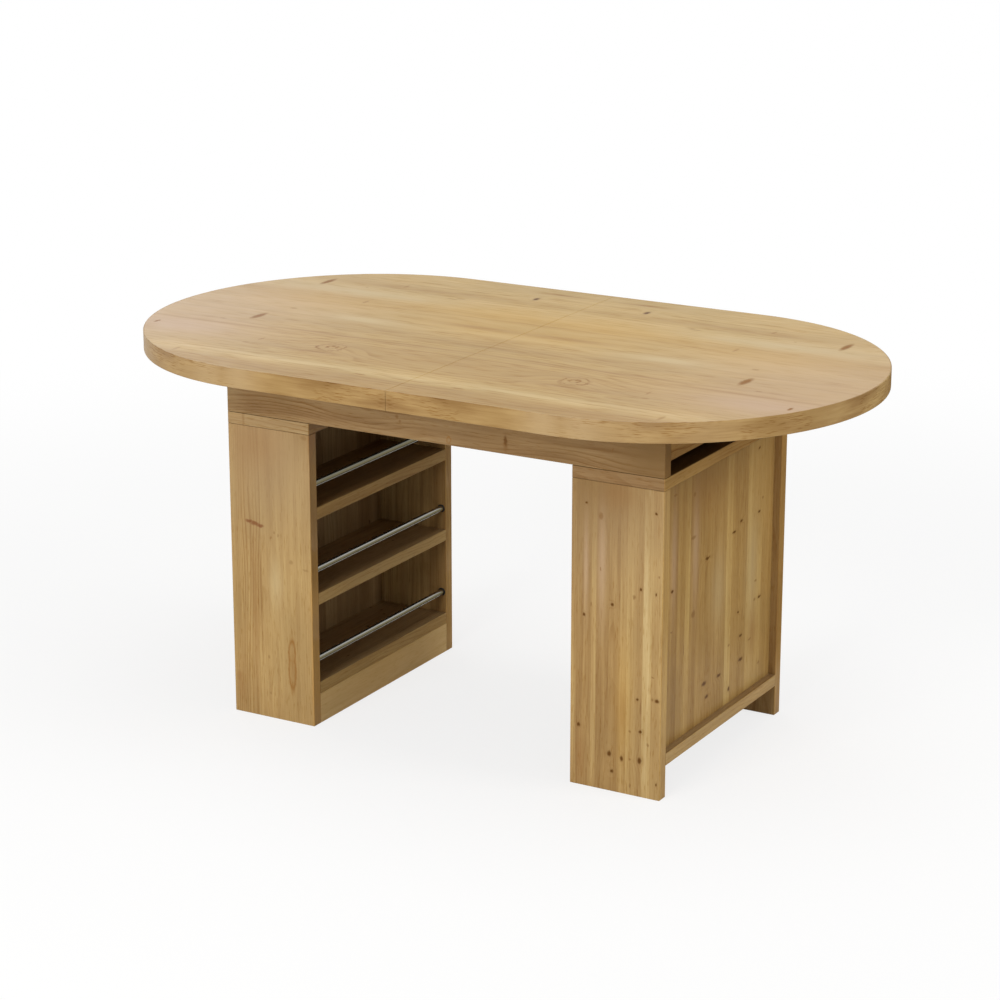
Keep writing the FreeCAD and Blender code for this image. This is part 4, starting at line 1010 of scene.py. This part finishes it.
def galvanised_sheet(tree, point):
    """Hot-dip galvanised steel: flat zinc crystals some millimetres wide, each its own grey."""
    scaled = add(tree, "VectorMath", [point, (1 / CRYSTAL_MM,) * 3], operation="MULTIPLY")
    crystals = add(tree, "TexVoronoi", {"Vector": scaled, "Scale": 1.0}, out="Color")
    shade = add(tree, "SeparateColor", [crystals]).node.outputs[0]
    colour = add(tree, "ValToRGB", [shade], stops=[(0, linear("#90949A")), (1, linear("#B7BBBF"))])
    rough = add(tree, "MapRange", [shade, 0.0, 1.0, 0.32, 0.5])
    bump = {"Strength": 0.2, "Distance": 0.02 / MM_PER_M, "Height": shade}
    normal = add(tree, "Bump", bump)
    return {"Base Color": colour, "Metallic": 1.0, "Roughness": rough, "Normal": normal}


ZINC = ["frame_cam_bolts", "frame_cam_locks", "top_bracket_screws", "joining_plate_screws"]
ZINC += [f"{side}_{part}" for side in ("left", "right")
         for part in ("cam_bolts", "cam_locks", "cap_screws")]
finish("bright_zinc_plate", ZINC, zinc_plate)
finish("galvanised_steel_sheet", ["top_brackets", "joining_plates"], galvanised_sheet)

# %% [markdown]
# ## Beech dowels
# Dowels are milled from beech, left raw so that glue holds. The pine shader could serve again, but
# beech hardly shows rings on a part this small. Its sign is short brown flecks, the wood's rays,
# over an even, pinkish ground.

# %% Dowels
BEECH_IOR = 1.5
RAY_TINT = linear("#C79B72")
BEECH_FIBRE_MM, RAY_MM = (1.2, 1.2, 1.2), (2.5, 2.5, 0.6)
RAY_FADES, RAY_STRENGTH = (0.58, 0.66), 0.7


def turned_beech(tree, point):
    """Plain beech: matt, even, pinkish and dotted with short brown flecks."""
    fibres = stretched_noise(tree, point, BEECH_FIBRE_MM, 3.0)
    rays = stretched_noise(tree, point, RAY_MM, 1.0)
    rays = add(tree, "MapRange", [rays, *RAY_FADES, 0.0, RAY_STRENGTH])
    surface = worked(tree, fibres, "#B98F66", "#CDA67E", (0.5, 0.62), 0.4, 0.05)
    rayed = add(tree, "Mix", {0: rays, 6: surface["Base Color"], 7: RAY_TINT}, **GLAZE)
    return {**surface, "Base Color": rayed, "IOR": BEECH_IOR}


finish("turned_beech", ["seam_dowels", "frame_dowels", "left_dowels", "right_dowels"], turned_beech)

# %% Pieces left without a finish
plain = sorted(name for name, piece in pieces.items()
               if not piece.data.materials or not piece.data.materials[0].use_nodes)
print("pieces without a finish:", plain or "none")
